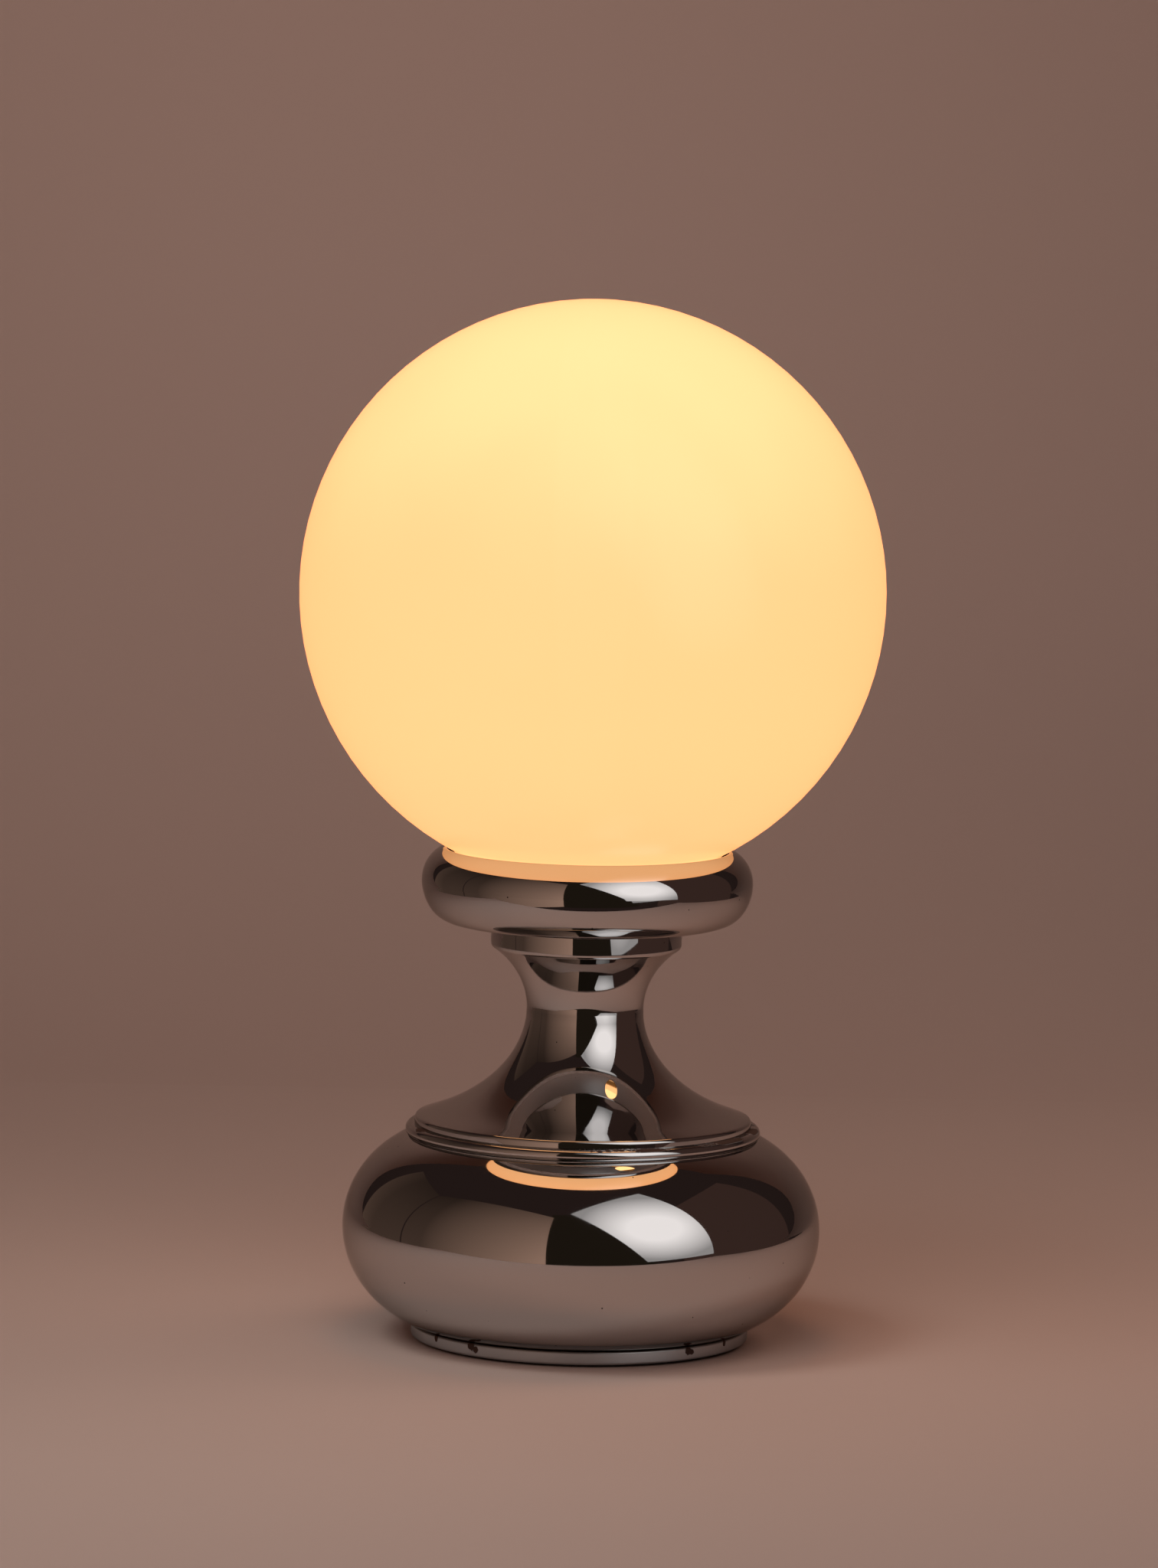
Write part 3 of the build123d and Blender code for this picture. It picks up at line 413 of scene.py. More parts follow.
def build_plating_age():
    """Pits and smudges of old plating, and a slow ripple left by the spinning lathe."""
    group, given, made = start_group(
        "plating_age",
        [
            ("Pit Share", "NodeSocketFloat"),
            ("Pit Size", "NodeSocketFloat"),
            ("Smudge Scale", "NodeSocketFloat"),
        ],
        [("Pits", "NodeSocketFloat"), ("Smudge", "NodeSocketFloat"), ("Ripple", "NodeSocketFloat")],
    )
    place = surface_place(group)
    cells = add(group, "ShaderNodeTexVoronoi", {"Vector": place, "Scale": PIT_CELLS})
    chance = add(group, "ShaderNodeSeparateColor", {"Color": cells.outputs["Color"]})
    chosen = maths(group, "LESS_THAN", chance.outputs["Red"], given.outputs["Pit Share"])
    sized = maths(group, "MULTIPLY", given.outputs["Pit Size"], chance.outputs["Green"])
    near = maths(group, "LESS_THAN", cells.outputs["Distance"], sized)
    smudge = noise(group, place, given.outputs["Smudge Scale"], SMUDGE_DETAIL, SMUDGE_GRIT)
    ripple = noise(group, place, RIPPLE_SCALE, RIPPLE_DETAIL)
    group.links.new(maths(group, "MULTIPLY", chosen, near), made.inputs["Pits"])
    group.links.new(fade(group, smudge, *SMUDGE_RANGE), made.inputs["Smudge"])
    group.links.new(ripple, made.inputs["Ripple"])
    return group


def build_seam_rust():
    """Rust specks that gather along a seam at a given height, with grime and painted shade darkest at the
    seam.
    """
    group, given, made = start_group(
        "seam_rust",
        [
            ("Seam Height", "NodeSocketFloat"),
            ("Reach", "NodeSocketFloat"),
            ("Cover", "NodeSocketFloat"),
        ],
        [("Rust", "NodeSocketFloat"), ("Grime And Shade", "NodeSocketFloat")],
    )
    place = surface_place(group)
    height = add(group, "ShaderNodeSeparateXYZ", {"Vector": place}).outputs["Z"]
    away = maths(group, "ABSOLUTE", maths(group, "SUBTRACT", height, given.outputs["Seam Height"]))
    near = maths(group, "SUBTRACT", 1.0, maths(group, "DIVIDE", away, given.outputs["Reach"]))
    patch = noise(group, place, RUST_PATCH_SCALE, RUST_PATCH_DETAIL)
    grain = noise(group, place, RUST_GRAIN_SCALE, RUST_GRAIN_DETAIL)
    blend = maths(group, "ADD", patch, maths(group, "MULTIPLY", grain, RUST_GRAIN_SHARE))
    close = maths(group, "MULTIPLY", fade(group, near, *RUST_PULL_RANGE), RUST_PULL)
    level = maths(group, "SUBTRACT", maths(group, "ADD", blend, close), given.outputs["Cover"])
    inside = fade(group, near, *SEAM_RANGE)
    rust = maths(group, "MULTIPLY", fade(group, level, *RUST_RANGE), inside)
    group.links.new(rust, made.inputs["Rust"])
    group.links.new(fade(group, near, *GRIME_AND_SHADE_RANGE), made.inputs["Grime And Shade"])
    return group


def build_mottle():
    """Slow colour patches with a fine grain, for the plain parts."""
    group, given, made = start_group(
        "mottle",
        [
            ("Colour", "NodeSocketColor"),
            ("Patch Colour", "NodeSocketColor"),
            ("Patch Scale", "NodeSocketFloat"),
            ("Grain Scale", "NodeSocketFloat"),
            ("Smooth", "NodeSocketFloat"),
            ("Rough", "NodeSocketFloat"),
        ],
        [
            ("Colour", "NodeSocketColor"),
            ("Roughness", "NodeSocketFloat"),
            ("Height", "NodeSocketFloat"),
        ],
    )
    place = surface_place(group)
    patch = noise(group, place, given.outputs["Patch Scale"], PATCH_DETAIL, PATCH_GRIT)
    grain = noise(group, place, given.outputs["Grain Scale"], GRAIN_DETAIL)
    share = fade(group, patch, *PATCH_RANGE)
    colour = mix(group, share, given.outputs["Colour"], given.outputs["Patch Colour"])
    speck = maths(group, "MULTIPLY", grain, MOTTLE_SHARE)
    worn = maths(group, "ADD", maths(group, "MULTIPLY", share, MOTTLE_SHARE), speck)
    level = ramp(group, worn, WHOLE, (given.outputs["Smooth"], given.outputs["Rough"]))
    group.links.new(colour, made.inputs["Colour"])
    group.links.new(level, made.inputs["Roughness"])
    group.links.new(grain, made.inputs["Height"])
    return group


plating_age = build_plating_age()
seam_rust = build_seam_rust()
mottle = build_mottle()


def start_material(name, **constants):
    """A material with one Principled shader, whose plain values are set on its own sockets."""
    material = bpy.data.materials.new(name)
    material.use_nodes = True
    tree = material.node_tree
    shader = tree.nodes["Principled BSDF"]
    for key, value in constants.items():
        shader.inputs[key.replace("_", " ")].default_value = value
    return material, tree, shader


def place_plating_age(tree):
    return add(
        tree,
        "ShaderNodeGroup",
        {"Pit Share": PIT_SHARE, "Pit Size": PIT_SIZE, "Smudge Scale": SMUDGE_SCALE},
        node_tree=plating_age,
    )


def place_seam_rust(tree, height, reach, cover):
    return add(
        tree,
        "ShaderNodeGroup",
        {"Seam Height": height * MM, "Reach": reach * MM, "Cover": cover},
        node_tree=seam_rust,
    )


def make_chrome(name, seams, roughness):
    """Bright chrome plate with pits and smudges, and rust, grime and painted shade along the given seams.
    """
    material, tree, shader = start_material(name, Specular_Tint=CHROME_EDGE)
    age = place_plating_age(tree)
    colour = mix(tree, age.outputs["Pits"], CHROME_TINT, PIT_TINT)
    rough = ramp(tree, age.outputs["Smudge"], WHOLE, roughness)
    metal = maths(tree, "SUBTRACT", 1.0, maths(tree, "MULTIPLY", age.outputs["Pits"], PIT_METAL_LOSS))
    for height, reach, cover in seams:
        seam = place_seam_rust(tree, height, reach, cover)
        rust = seam.outputs["Rust"]
        grime_and_shade = seam.outputs["Grime And Shade"]
        # The darker band at the seam is partly grime and partly painted shade between the parts.
        soiled_and_shaded = mix(tree, maths(tree, "MULTIPLY", grime_and_shade, GRIME_AND_SHADE_SHARE), colour, GRIME_AND_SHADE_TINT)
        colour = mix(tree, rust, soiled_and_shaded, RUST_TINT)
        rough = maths(tree, "ADD", rough, maths(tree, "MULTIPLY", rust, RUST_ROUGHNESS))
        rough = maths(tree, "ADD", rough, maths(tree, "MULTIPLY", grime_and_shade, GRIME_ROUGHNESS))
        metal = maths(tree, "SUBTRACT", metal, maths(tree, "MULTIPLY", rust, RUST_METAL_LOSS))
    bump = add(
        tree,
        "ShaderNodeBump",
        {"Strength": RIPPLE_STRENGTH, "Distance": RIPPLE_DEPTH, "Height": age.outputs["Ripple"]},
    )
    tree.links.new(colour, shader.inputs["Base Color"])
    tree.links.new(rough, shader.inputs["Roughness"])
    tree.links.new(metal, shader.inputs["Metallic"])
    tree.links.new(bump.outputs["Normal"], shader.inputs["Normal"])
    return material


def make_foot_chrome(name):
    """Dull plate of the foot, darkened by grime and painted shade along the seam under the bowl, with a
    few rust specks.
    """
    material, tree, shader = start_material(name, Specular_Tint=CHROME_EDGE)
    age = place_plating_age(tree)
    seam = place_seam_rust(tree, FLANGE_Z, FOOT_GRIME_AND_SHADE_REACH, FOOT_SEAM_COVER)
    place = surface_place(tree)
    ragged = noise(tree, place, SPECK_GRAIN_SCALE, SPECK_GRAIN_DETAIL)
    nearest = SPECK_FAR
    for angle, height, size in FOOT_SPECKS:
        east = FOOT_RADIUS * sin(radians(angle))
        south = FOOT_RADIUS * cos(radians(angle))
        spot = (east * MM, -south * MM, height * MM)
        away = add(tree, "ShaderNodeVectorMath", {0: place, 1: spot}, operation="DISTANCE")
        sized = maths(tree, "DIVIDE", away.outputs["Value"], size * MM)
        nearest = maths(tree, "MINIMUM", nearest, sized)
    frayed = maths(tree, "ADD", nearest, ragged)
    rust = maths(tree, "SUBTRACT", 1.0, fade(tree, frayed, *SPECK_RANGE))
    # The top of the foot, under the bowl, is darkened with painted shade of the gap and some grime.
    soiled_and_shaded = mix(tree, seam.outputs["Grime And Shade"], FOOT_TINT, GRIME_AND_SHADE_TINT)
    rough = ramp(tree, age.outputs["Smudge"], WHOLE, FOOT_ROUGHNESS)
    rough = maths(tree, "ADD", rough, maths(tree, "MULTIPLY", rust, SPECK_ROUGHNESS))
    tree.links.new(mix(tree, rust, soiled_and_shaded, RUST_TINT), shader.inputs["Base Color"])
    tree.links.new(rough, shader.inputs["Roughness"])
    tree.links.new(maths(tree, "SUBTRACT", 1.0, rust), shader.inputs["Metallic"])
    return material


def make_opal(name, low, middle, high, limb, strength):
    """Opal glass lit from inside, with glows for its low, middle and high parts and its limb."""
    material, tree, shader = start_material(
        name,
        Roughness=0.28,
        Specular_IOR_Level=0.3,
        Coat_Weight=0.06,
        Coat_Roughness=0.04,
        Emission_Strength=strength,
    )
    place = surface_place(tree)
    height = add(tree, "ShaderNodeSeparateXYZ", {"Vector": place}).outputs["Z"]
    uneven = noise(tree, place, OPAL_CLOUD_SCALE, OPAL_CLOUD_DETAIL)
    wander = maths(tree, "MULTIPLY", maths(tree, "SUBTRACT", uneven, NOISE_MEAN), OPAL_WANDER)
    level = maths(tree, "ADD", height, wander)
    lower = mix(tree, fade(tree, level, *OPAL_LOW_RANGE), low, middle)
    upper = mix(tree, fade(tree, level, *OPAL_HIGH_RANGE), lower, high)
    turned = add(tree, "ShaderNodeLayerWeight", {"Blend": LIMB_BLEND}).outputs["Facing"]
    glow = mix(tree, maths(tree, "POWER", turned, LIMB_POWER), upper, limb)
    pale = mix(tree, uneven, OPAL_PALE, OPAL_PALE_PATCH)
    tree.links.new(pale, shader.inputs["Base Color"])
    tree.links.new(glow, shader.inputs["Emission Color"])
    return material


def make_plain(name, colour, patch, smooth, rough, patch_scale, grain_scale, bump, **constants):
    """A plain part's finish, from the shared mottle."""
    material, tree, shader = start_material(name, **constants)
    spread = add(
        tree,
        "ShaderNodeGroup",
        {
            "Colour": (*colour, 1.0),
            "Patch Colour": (*patch, 1.0),
            "Patch Scale": patch_scale,
            "Grain Scale": grain_scale,
            "Smooth": smooth,
            "Rough": rough,
        },
        node_tree=mottle,
    )
    dent = add(
        tree,
        "ShaderNodeBump",
        {"Strength": bump, "Distance": MOTTLE_DEPTH, "Height": spread.outputs["Height"]},
    )
    tree.links.new(spread.outputs["Colour"], shader.inputs["Base Color"])
    tree.links.new(spread.outputs["Roughness"], shader.inputs["Roughness"])
    tree.links.new(dent.outputs["Normal"], shader.inputs["Normal"])
    return material


polished_chrome = make_chrome("polished_chrome", [], POLISHED_ROUGHNESS)
satin_chrome = make_chrome("satin_chrome", [], SATIN_ROUGHNESS)
seam_chrome = make_chrome(
    "seam_chrome",
    [(SHOULDER_TOP, SHOULDER_SEAM_REACH, SHOULDER_SEAM_COVER)],
    SHOULDER_ROUGHNESS,
)
foot_chrome = make_foot_chrome("foot_chrome")
opal_glass = make_opal(
    "opal_glass",
    low=(0.86, 0.418, 0.17, 1.0),
    middle=(1.0, 0.45, 0.178, 1.0),
    high=(1.0, 0.578, 0.244, 1.0),
    limb=(0.95, 0.352, 0.11, 1.0),
    strength=1.44,
)
opal_inside = make_opal(
    "opal_inside",
    low=(0.27, 0.105, 0.018, 1.0),
    middle=(1.0, 0.5, 0.18, 1.0),
    high=(1.0, 0.6, 0.26, 1.0),
    limb=(0.6, 0.24, 0.06, 1.0),
    strength=2.2,
)
bulb_glass = make_opal(
    "bulb_glass",
    low=(1.0, 0.56, 0.25, 1.0),
    middle=(1.0, 0.64, 0.34, 1.0),
    high=(1.0, 0.7, 0.42, 1.0),
    limb=(0.8, 0.36, 0.12, 1.0),
    strength=1.3,
)

# Plain finishes by slot: colour, patch colour, roughness from and to, patch scale, grain scale, bump
PLAIN_FINISHES = {
    "felt": ((0.05, 0.047, 0.044), (0.022, 0.02, 0.019), 0.85, 1.0, 240.0, 2600.0, 0.6),
    "zinc_steel": ((0.52, 0.52, 0.5), (0.38, 0.37, 0.35), 0.24, 0.42, 90.0, 1500.0, 0.06),
    "cast_iron": ((0.06, 0.058, 0.056), (0.1, 0.075, 0.06), 0.6, 0.9, 50.0, 700.0, 0.4),
    "gasket_rubber": ((0.36, 0.19, 0.07), (0.28, 0.14, 0.05), 0.5, 0.75, 60.0, 900.0, 0.05),
    "black_plastic": ((0.02, 0.019, 0.018), (0.034, 0.033, 0.032), 0.35, 0.5, 120.0, 1800.0, 0.12),
    "bakelite": ((0.016, 0.013, 0.011), (0.034, 0.026, 0.02), 0.18, 0.34, 80.0, 700.0, 0.03),
    "porcelain": ((0.82, 0.79, 0.73), (0.7, 0.66, 0.6), 0.12, 0.3, 70.0, 600.0, 0.03),
    "brass": ((0.66, 0.45, 0.17), (0.42, 0.27, 0.1), 0.18, 0.36, 110.0, 1600.0, 0.04),
    "block_plastic": ((0.72, 0.69, 0.6), (0.6, 0.56, 0.47), 0.35, 0.5, 60.0, 900.0, 0.05),
    "stem_glass": ((0.82, 0.85, 0.84), (0.7, 0.74, 0.74), 0.05, 0.12, 60.0, 900.0, 0.05),
    "bulb_cap_metal": ((0.66, 0.65, 0.62), (0.5, 0.49, 0.46), 0.22, 0.4, 130.0, 1700.0, 0.05),
    "bulb_black_glass": ((0.012, 0.012, 0.014), (0.03, 0.03, 0.033), 0.1, 0.25, 60.0, 900.0, 0.05),
    "tungsten": ((0.22, 0.21, 0.2), (0.12, 0.11, 0.1), 0.3, 0.5, 300.0, 2600.0, 0.1),
    "lead_brown": ((0.12, 0.05, 0.022), (0.08, 0.034, 0.016), 0.35, 0.5, 60.0, 900.0, 0.05),
    "lead_blue": ((0.025, 0.085, 0.26), (0.018, 0.06, 0.19), 0.35, 0.5, 60.0, 900.0, 0.05),
    "lead_green": ((0.1, 0.24, 0.045), (0.3, 0.27, 0.03), 0.35, 0.5, 240.0, 900.0, 0.05),
}
FINISH_EXTRAS = {
    "felt": {"Sheen_Weight": 0.3},
    "zinc_steel": {"Metallic": 1.0},
    # The gasket's glow is painted light: it stands in for the globe's light falling on and through the
    # rubber.
    "gasket_rubber": {"Emission_Color": (0.5, 0.2, 0.04, 1.0), "Emission_Strength": 0.3},
    "brass": {"Metallic": 1.0},
    "stem_glass": {"Alpha": 0.5},
    "bulb_cap_metal": {"Metallic": 1.0},
    "tungsten": {"Metallic": 1.0},
}
finishes = {
    slot: make_plain(slot, *values, **FINISH_EXTRAS.get(slot, {}))
    for slot, values in PLAIN_FINISHES.items()
}
for subpart in frame["record"]["subparts"]:
    finish = finishes.get(subpart["material_slot"])
    if finish:
        node = frame["nodes"][subpart["node"]]
        node.data.materials.clear()
        node.data.materials.append(finish)


# Chromed shells


def make_base_bowl():
    inner = (BOWL_HALF[0] - SHEET, BOWL_HALF[1] - SHEET)
    inner_crown = degrees(asin((CROWN_Z - SHEET - BOWL_CENTRE[1]) / inner[1]))
    inner_foot = degrees(asin((BOWL_CENTRE[1] - FLANGE_Z - SHEET) / inner[1]))
    shape = bmesh.new()
    outside = arc(shape, BOWL_CENTRE, BOWL_HALF, BOWL_CROWN_ANGLE, -BOWL_CROWN_ANGLE - BOWL_FOOT_ANGLE)
    inside = arc(shape, BOWL_CENTRE, inner, -inner_foot, inner_foot + inner_crown)
    join(
        shape,
        outside[1],
        point(shape, OPENING_RADIUS, FLANGE_Z),
        point(shape, OPENING_RADIUS, FLANGE_Z + SHEET),
        inside[0],
    )
    join(
        shape,
        inside[1],
        point(shape, ROD_HOLE_RADIUS, CROWN_Z - SHEET),
        point(shape, ROD_HOLE_RADIUS, CROWN_Z),
        outside[0],
    )
    turn_on_lathe(shape)
    piece = make_object("chrome_bowl", shape)
    drill(piece, INLET_RADIUS, INLET_DEPTH, [(INLET_POINT, INLET_DIRECTION)])
    return dress(piece, "lamp", "chrome", ["base_bowl"], polished_chrome)


def make_foot_ring():
    shape = bmesh.new()
    edge = FOOT_RADIUS - FOOT_ROUND
    top = arc(shape, (edge, FLANGE_Z - FOOT_ROUND), (FOOT_ROUND, FOOT_ROUND), 90, -90)
    foot = arc(shape, (edge, FOOT_LIFT + FOOT_ROUND), (FOOT_ROUND, FOOT_ROUND), 0, -90)
    join(shape, top[1], foot[0])
    join(
        shape,
        foot[1],
        point(shape, FOOT_INNER_RADIUS, FOOT_LIFT),
        point(shape, FOOT_INNER_RADIUS, PLATE_TOP),
        point(shape, OPENING_RADIUS, PLATE_TOP),
        point(shape, OPENING_RADIUS, FLANGE_Z),
        top[0],
    )
    turn_on_lathe(shape)
    return dress(make_object("chrome_foot", shape), "lamp", "chrome", ["foot_ring"], foot_chrome)


def make_shoulder_ring():
    bed = (BOWL_HALF[0] + NEST_GAP, BOWL_HALF[1] + NEST_GAP)
    bead_middle = (BEAD_CENTRE_RADIUS, SHOULDER_TOP - BEAD_RADIUS)
    bead_end = BEAD_CENTRE_RADIUS + BEAD_RADIUS * cos(radians(BEAD_END_ANGLE))
    land = BEAD_CENTRE_RADIUS - SHOULDER_LAND
    bed_start = degrees(acos((bead_end - BOWL_CENTRE[0]) / bed[0]))
    bed_end = degrees(acos((land - BOWL_CENTRE[0]) / bed[0]))
    shape = bmesh.new()
    bead = arc(shape, bead_middle, (BEAD_RADIUS, BEAD_RADIUS), 90, BEAD_END_ANGLE - 90)
    under = arc(shape, BOWL_CENTRE, bed, bed_start, bed_end - bed_start)
    join(shape, bead[1], under[0])
    join(shape, under[1], point(shape, land, SHOULDER_TOP), bead[0])
    turn_on_lathe(shape)
    dress(make_object("chrome_shoulder", shape), "lamp", "chrome", ["shoulder_ring"], seam_chrome)


def make_neck_column():
    flare_slope = degrees(
        atan2(FLARE_HALF[1] * cos(radians(FLARE_ANGLE)), FLARE_HALF[0] * sin(radians(FLARE_ANGLE)))
    )
    upper_slope = degrees(
        atan2(UPPER_HALF[1] * cos(radians(UPPER_ANGLE)), UPPER_HALF[0] * sin(radians(UPPER_ANGLE)))
    )
    collar_middle = (COLLAR_RADIUS - COLLAR_EDGE, COLLAR_EDGE_Z)
    upper_middle = (WAIST_RADIUS + UPPER_HALF[0], WAIST_Z)
    flare_middle = (WAIST_RADIUS + FLARE_HALF[0], WAIST_Z)
    rim_middle = (FLARE_RADIUS - FLARE_EDGE, FLARE_EDGE_Z)
    shape = bmesh.new()
    for wall in (0.0, SHEET):
        round_top = max(COLLAR_TOP_ROUND - wall, COLLAR_LEAST_ROUND)
        top_middle = (COLLAR_RADIUS - wall - round_top, NECK_TOP - wall - round_top)
        edge = COLLAR_EDGE - wall
        brim = FLARE_EDGE - wall
        upper = (UPPER_HALF[0] + wall, UPPER_HALF[1] + wall)
        lower = (FLARE_HALF[0] + wall, FLARE_HALF[1] + wall)
        top = arc(shape, top_middle, (round_top, round_top), 90, -90)
        collar = arc(shape, collar_middle, (edge, edge), 0, upper_slope - 90)
        throat = arc(shape, upper_middle, upper, 180 - UPPER_ANGLE, UPPER_ANGLE)
        flare = arc(shape, flare_middle, lower, 180, FLARE_ANGLE)
        rim = arc(shape, rim_middle, (brim, brim), 90 - flare_slope, flare_slope - 90)
        join(shape, point(shape, ROD_HOLE_RADIUS, NECK_TOP - wall), top[0])
        join(shape, top[1], collar[0])
        join(shape, collar[1], throat[0])
        join(shape, throat[1], flare[0])
        join(shape, flare[1], rim[0])
        join(shape, rim[1], point(shape, FLARE_RADIUS - wall, SHOULDER_TOP))
    bmesh.ops.remove_doubles(shape, verts=shape.verts, dist=MERGE_DISTANCE)
    ends = [corner for corner in shape.verts if len(corner.link_edges) == 1]
    ends.sort(key=lambda corner: corner.co.x)
    join(shape, ends[0], ends[1])
    join(shape, ends[2], ends[3])
    turn_on_lathe(shape)
    dress(make_object("chrome_neck", shape), "lamp", "chrome", ["neck_column"], polished_chrome)


def make_gallery_ring():
    reach = GALLERY_RADIUS - LIP_CENTRE[0]
    rise = LIP_CENTRE[1] - GALLERY_MID_Z
    bend = (reach**2 + rise**2 - LIP_RADIUS**2) / (2 * (reach - LIP_RADIUS))
    bend_centre = (GALLERY_RADIUS - bend, GALLERY_MID_Z)
    bend_end = degrees(atan2(rise, bend - reach))
    shape = bmesh.new()
    skins = []
    for wall in (0.0, SHEET):
        lower = (GALLERY_LOWER[0] - wall, GALLERY_LOWER[1] - wall)
        upper = (bend - wall, bend - wall)
        lip = LIP_RADIUS - wall
        belly = arc(shape, (FLOOR_RADIUS, GALLERY_MID_Z), lower, -90, 90)
        shoulder = arc(shape, bend_centre, upper, 0, bend_end)
        roll = arc(shape, LIP_CENTRE, (lip, lip), bend_end, 90 + LIP_TURN - bend_end)
        centre = point(shape, ROD_HOLE_RADIUS, NECK_TOP + wall)
        join(shape, centre, belly[0])
        join(shape, belly[1], shoulder[0])
        join(shape, shoulder[1], roll[0])
        skins.append((centre, roll[1]))
    join(shape, skins[0][0], skins[1][0])
    join(shape, skins[0][1], skins[1][1])
    bmesh.ops.remove_doubles(shape, verts=shape.verts, dist=MERGE_DISTANCE)
    turn_on_lathe(shape)
    piece = make_object("chrome_gallery", shape)
    vents = []
    for vent in range(VENT_COUNT):
        angle = radians(VENT_START + vent * 360 / VENT_COUNT)
        vents.append(((VENT_CIRCLE * cos(angle), VENT_CIRCLE * sin(angle), NECK_TOP), (0, 0, 1)))
    drill(piece, VENT_RADIUS, 2 * SHEET, vents)
    for face in piece.data.polygons:
        underneath = face.center.z < (NECK_TOP + SHEET / 2) * MM and face.normal.z < -UNDERSIDE_SLOPE
        face.material_index = int(underneath)
    dress(piece, "lamp", "chrome", ["gallery_ring"], polished_chrome, satin_chrome)


# Globe and bulb


def make_globe():
    hollow = GLOBE_RADIUS - GLOBE_WALL
    neck_inner = GLOBE_NECK_RADIUS - GLOBE_WALL
    ball_start = -degrees(acos(GLOBE_NECK_RADIUS / GLOBE_RADIUS))
    hollow_start = -degrees(acos(neck_inner / hollow))
    rim = (GLOBE_RIM_ROUND, GLOBE_RIM_ROUND)
    rim_z = GLOBE_RIM_Z + GLOBE_RIM_ROUND
    shape = bmesh.new()
    ball = arc(shape, (0, GLOBE_Z), (GLOBE_RADIUS, GLOBE_RADIUS), ball_start, 90 - ball_start)
    rim_out = arc(shape, (GLOBE_NECK_RADIUS - GLOBE_RIM_ROUND, rim_z), rim, 0, -90)
    rim_in = arc(shape, (neck_inner + GLOBE_RIM_ROUND, rim_z), rim, -90, -90)
    inside = arc(shape, (0, GLOBE_Z), (hollow, hollow), hollow_start, 90 - hollow_start)
    join(shape, ball[0], rim_out[0])
    join(shape, rim_out[1], rim_in[0])
    join(shape, rim_in[1], inside[0])
    turn_on_lathe(shape)
    joint_z = (GLOBE_Z - sqrt(GLOBE_RADIUS**2 - GLOBE_NECK_RADIUS**2)) * MM
    joint = []
    for edge in shape.edges:
        level = all(abs(end.co.z - joint_z) < MERGE_DISTANCE for end in edge.verts)
        outer = all(end.co.xy.length > neck_inner * MM for end in edge.verts)
        if level and outer:
            joint.append(edge)
    bmesh.ops.bevel(
        shape,
        geom=joint,
        offset=GLOBE_NECK_ROUND * MM,
        segments=NECK_BEVEL_STEPS,
        profile=0.5,
        affect="EDGES",
        material=-1,
    )
    middle = Vector((0, 0, GLOBE_Z * MM))
    skin = (GLOBE_RADIUS - GLOBE_WALL / 2) * MM
    for face in shape.faces:
        spot = face.calc_center_median()
        in_ball = (spot - middle).length < skin
        in_neck = spot.z > joint_z or spot.xy.length < (GLOBE_NECK_RADIUS - GLOBE_WALL / 2) * MM
        face.material_index = int(in_ball and in_neck)
    piece = make_object("opal_globe", shape)
    dress(piece, "globe", "opal_glass", ["globe_shade"], opal_glass, opal_inside)


def make_bulb():
    throat_radius = (BULB_BALL_RADIUS * cos(radians(BULB_BALL_ANGLE)) - BULB_NECK_RADIUS) / (
        1 - cos(radians(BULB_BALL_ANGLE))
    )
    throat_z = BULB_CAP_TOP + BULB_NECK_RISE + BULB_NECK_STRAIGHT
    throat_middle = (BULB_NECK_RADIUS + throat_radius, throat_z)
    ball_z = throat_z + (BULB_BALL_RADIUS + throat_radius) * sin(radians(BULB_BALL_ANGLE))
    bulb = bmesh.new()
    for wall in (0.0, GLASS_WALL):
        shape = bmesh.new()
        ball = BULB_BALL_RADIUS - wall
        curve = throat_radius + wall
        dome = arc(shape, (0, ball_z), (ball, ball), -BULB_BALL_ANGLE, 90 + BULB_BALL_ANGLE)
        throat = arc(shape, throat_middle, (curve, curve), 180, -BULB_BALL_ANGLE)
        join(shape, dome[0], throat[1])
        join(
            shape,
            throat[0],
            point(shape, BULB_NECK_RADIUS - wall, BULB_CAP_TOP + BULB_NECK_RISE),
            point(shape, GLASS_SEAT_RADIUS - wall, BULB_CAP_TOP),
            point(shape, GLASS_SEAT_RADIUS - wall, BULB_CAP_TOP - GLASS_SEAT + wall),
            point(shape, 0, BULB_CAP_TOP - GLASS_SEAT + wall),
        )
        bmesh.ops.remove_doubles(shape, verts=shape.verts, dist=MERGE_DISTANCE)
        turn_on_lathe(shape)
        if wall:
            bmesh.ops.reverse_faces(shape, faces=shape.faces)
        skin = bpy.data.meshes.new("bulb_skin")
        shape.to_mesh(skin)
        shape.free()
        bulb.from_mesh(skin)
        bpy.data.meshes.remove(skin)
    dress(make_object("frosted_bulb", bulb), "bulb", "bulb_glass", ["bulb_envelope"], bulb_glass)


base_pieces = bpy.data.collections.new("base_pieces")
base_pieces.objects.link(make_base_bowl())
base_pieces.objects.link(make_foot_ring())
make_shoulder_ring()
make_neck_column()
make_gallery_ring()
make_globe()
make_bulb()


# Studio

# Places and lengths, in metres
FLOOR_Z = -0.0004
FLOOR_REACH = 7.0
TABLE_FRONT = -0.41
TABLE_BACK = 0.72
TABLE_WEST = -0.9
TABLE_EAST = 0.85
SWEEP_WEST = -1.5
SWEEP_EAST = 2.0
SWEEP_RADIUS = 1.1
SWEEP_RISE = 2.4
SWEEP_STEPS = 24

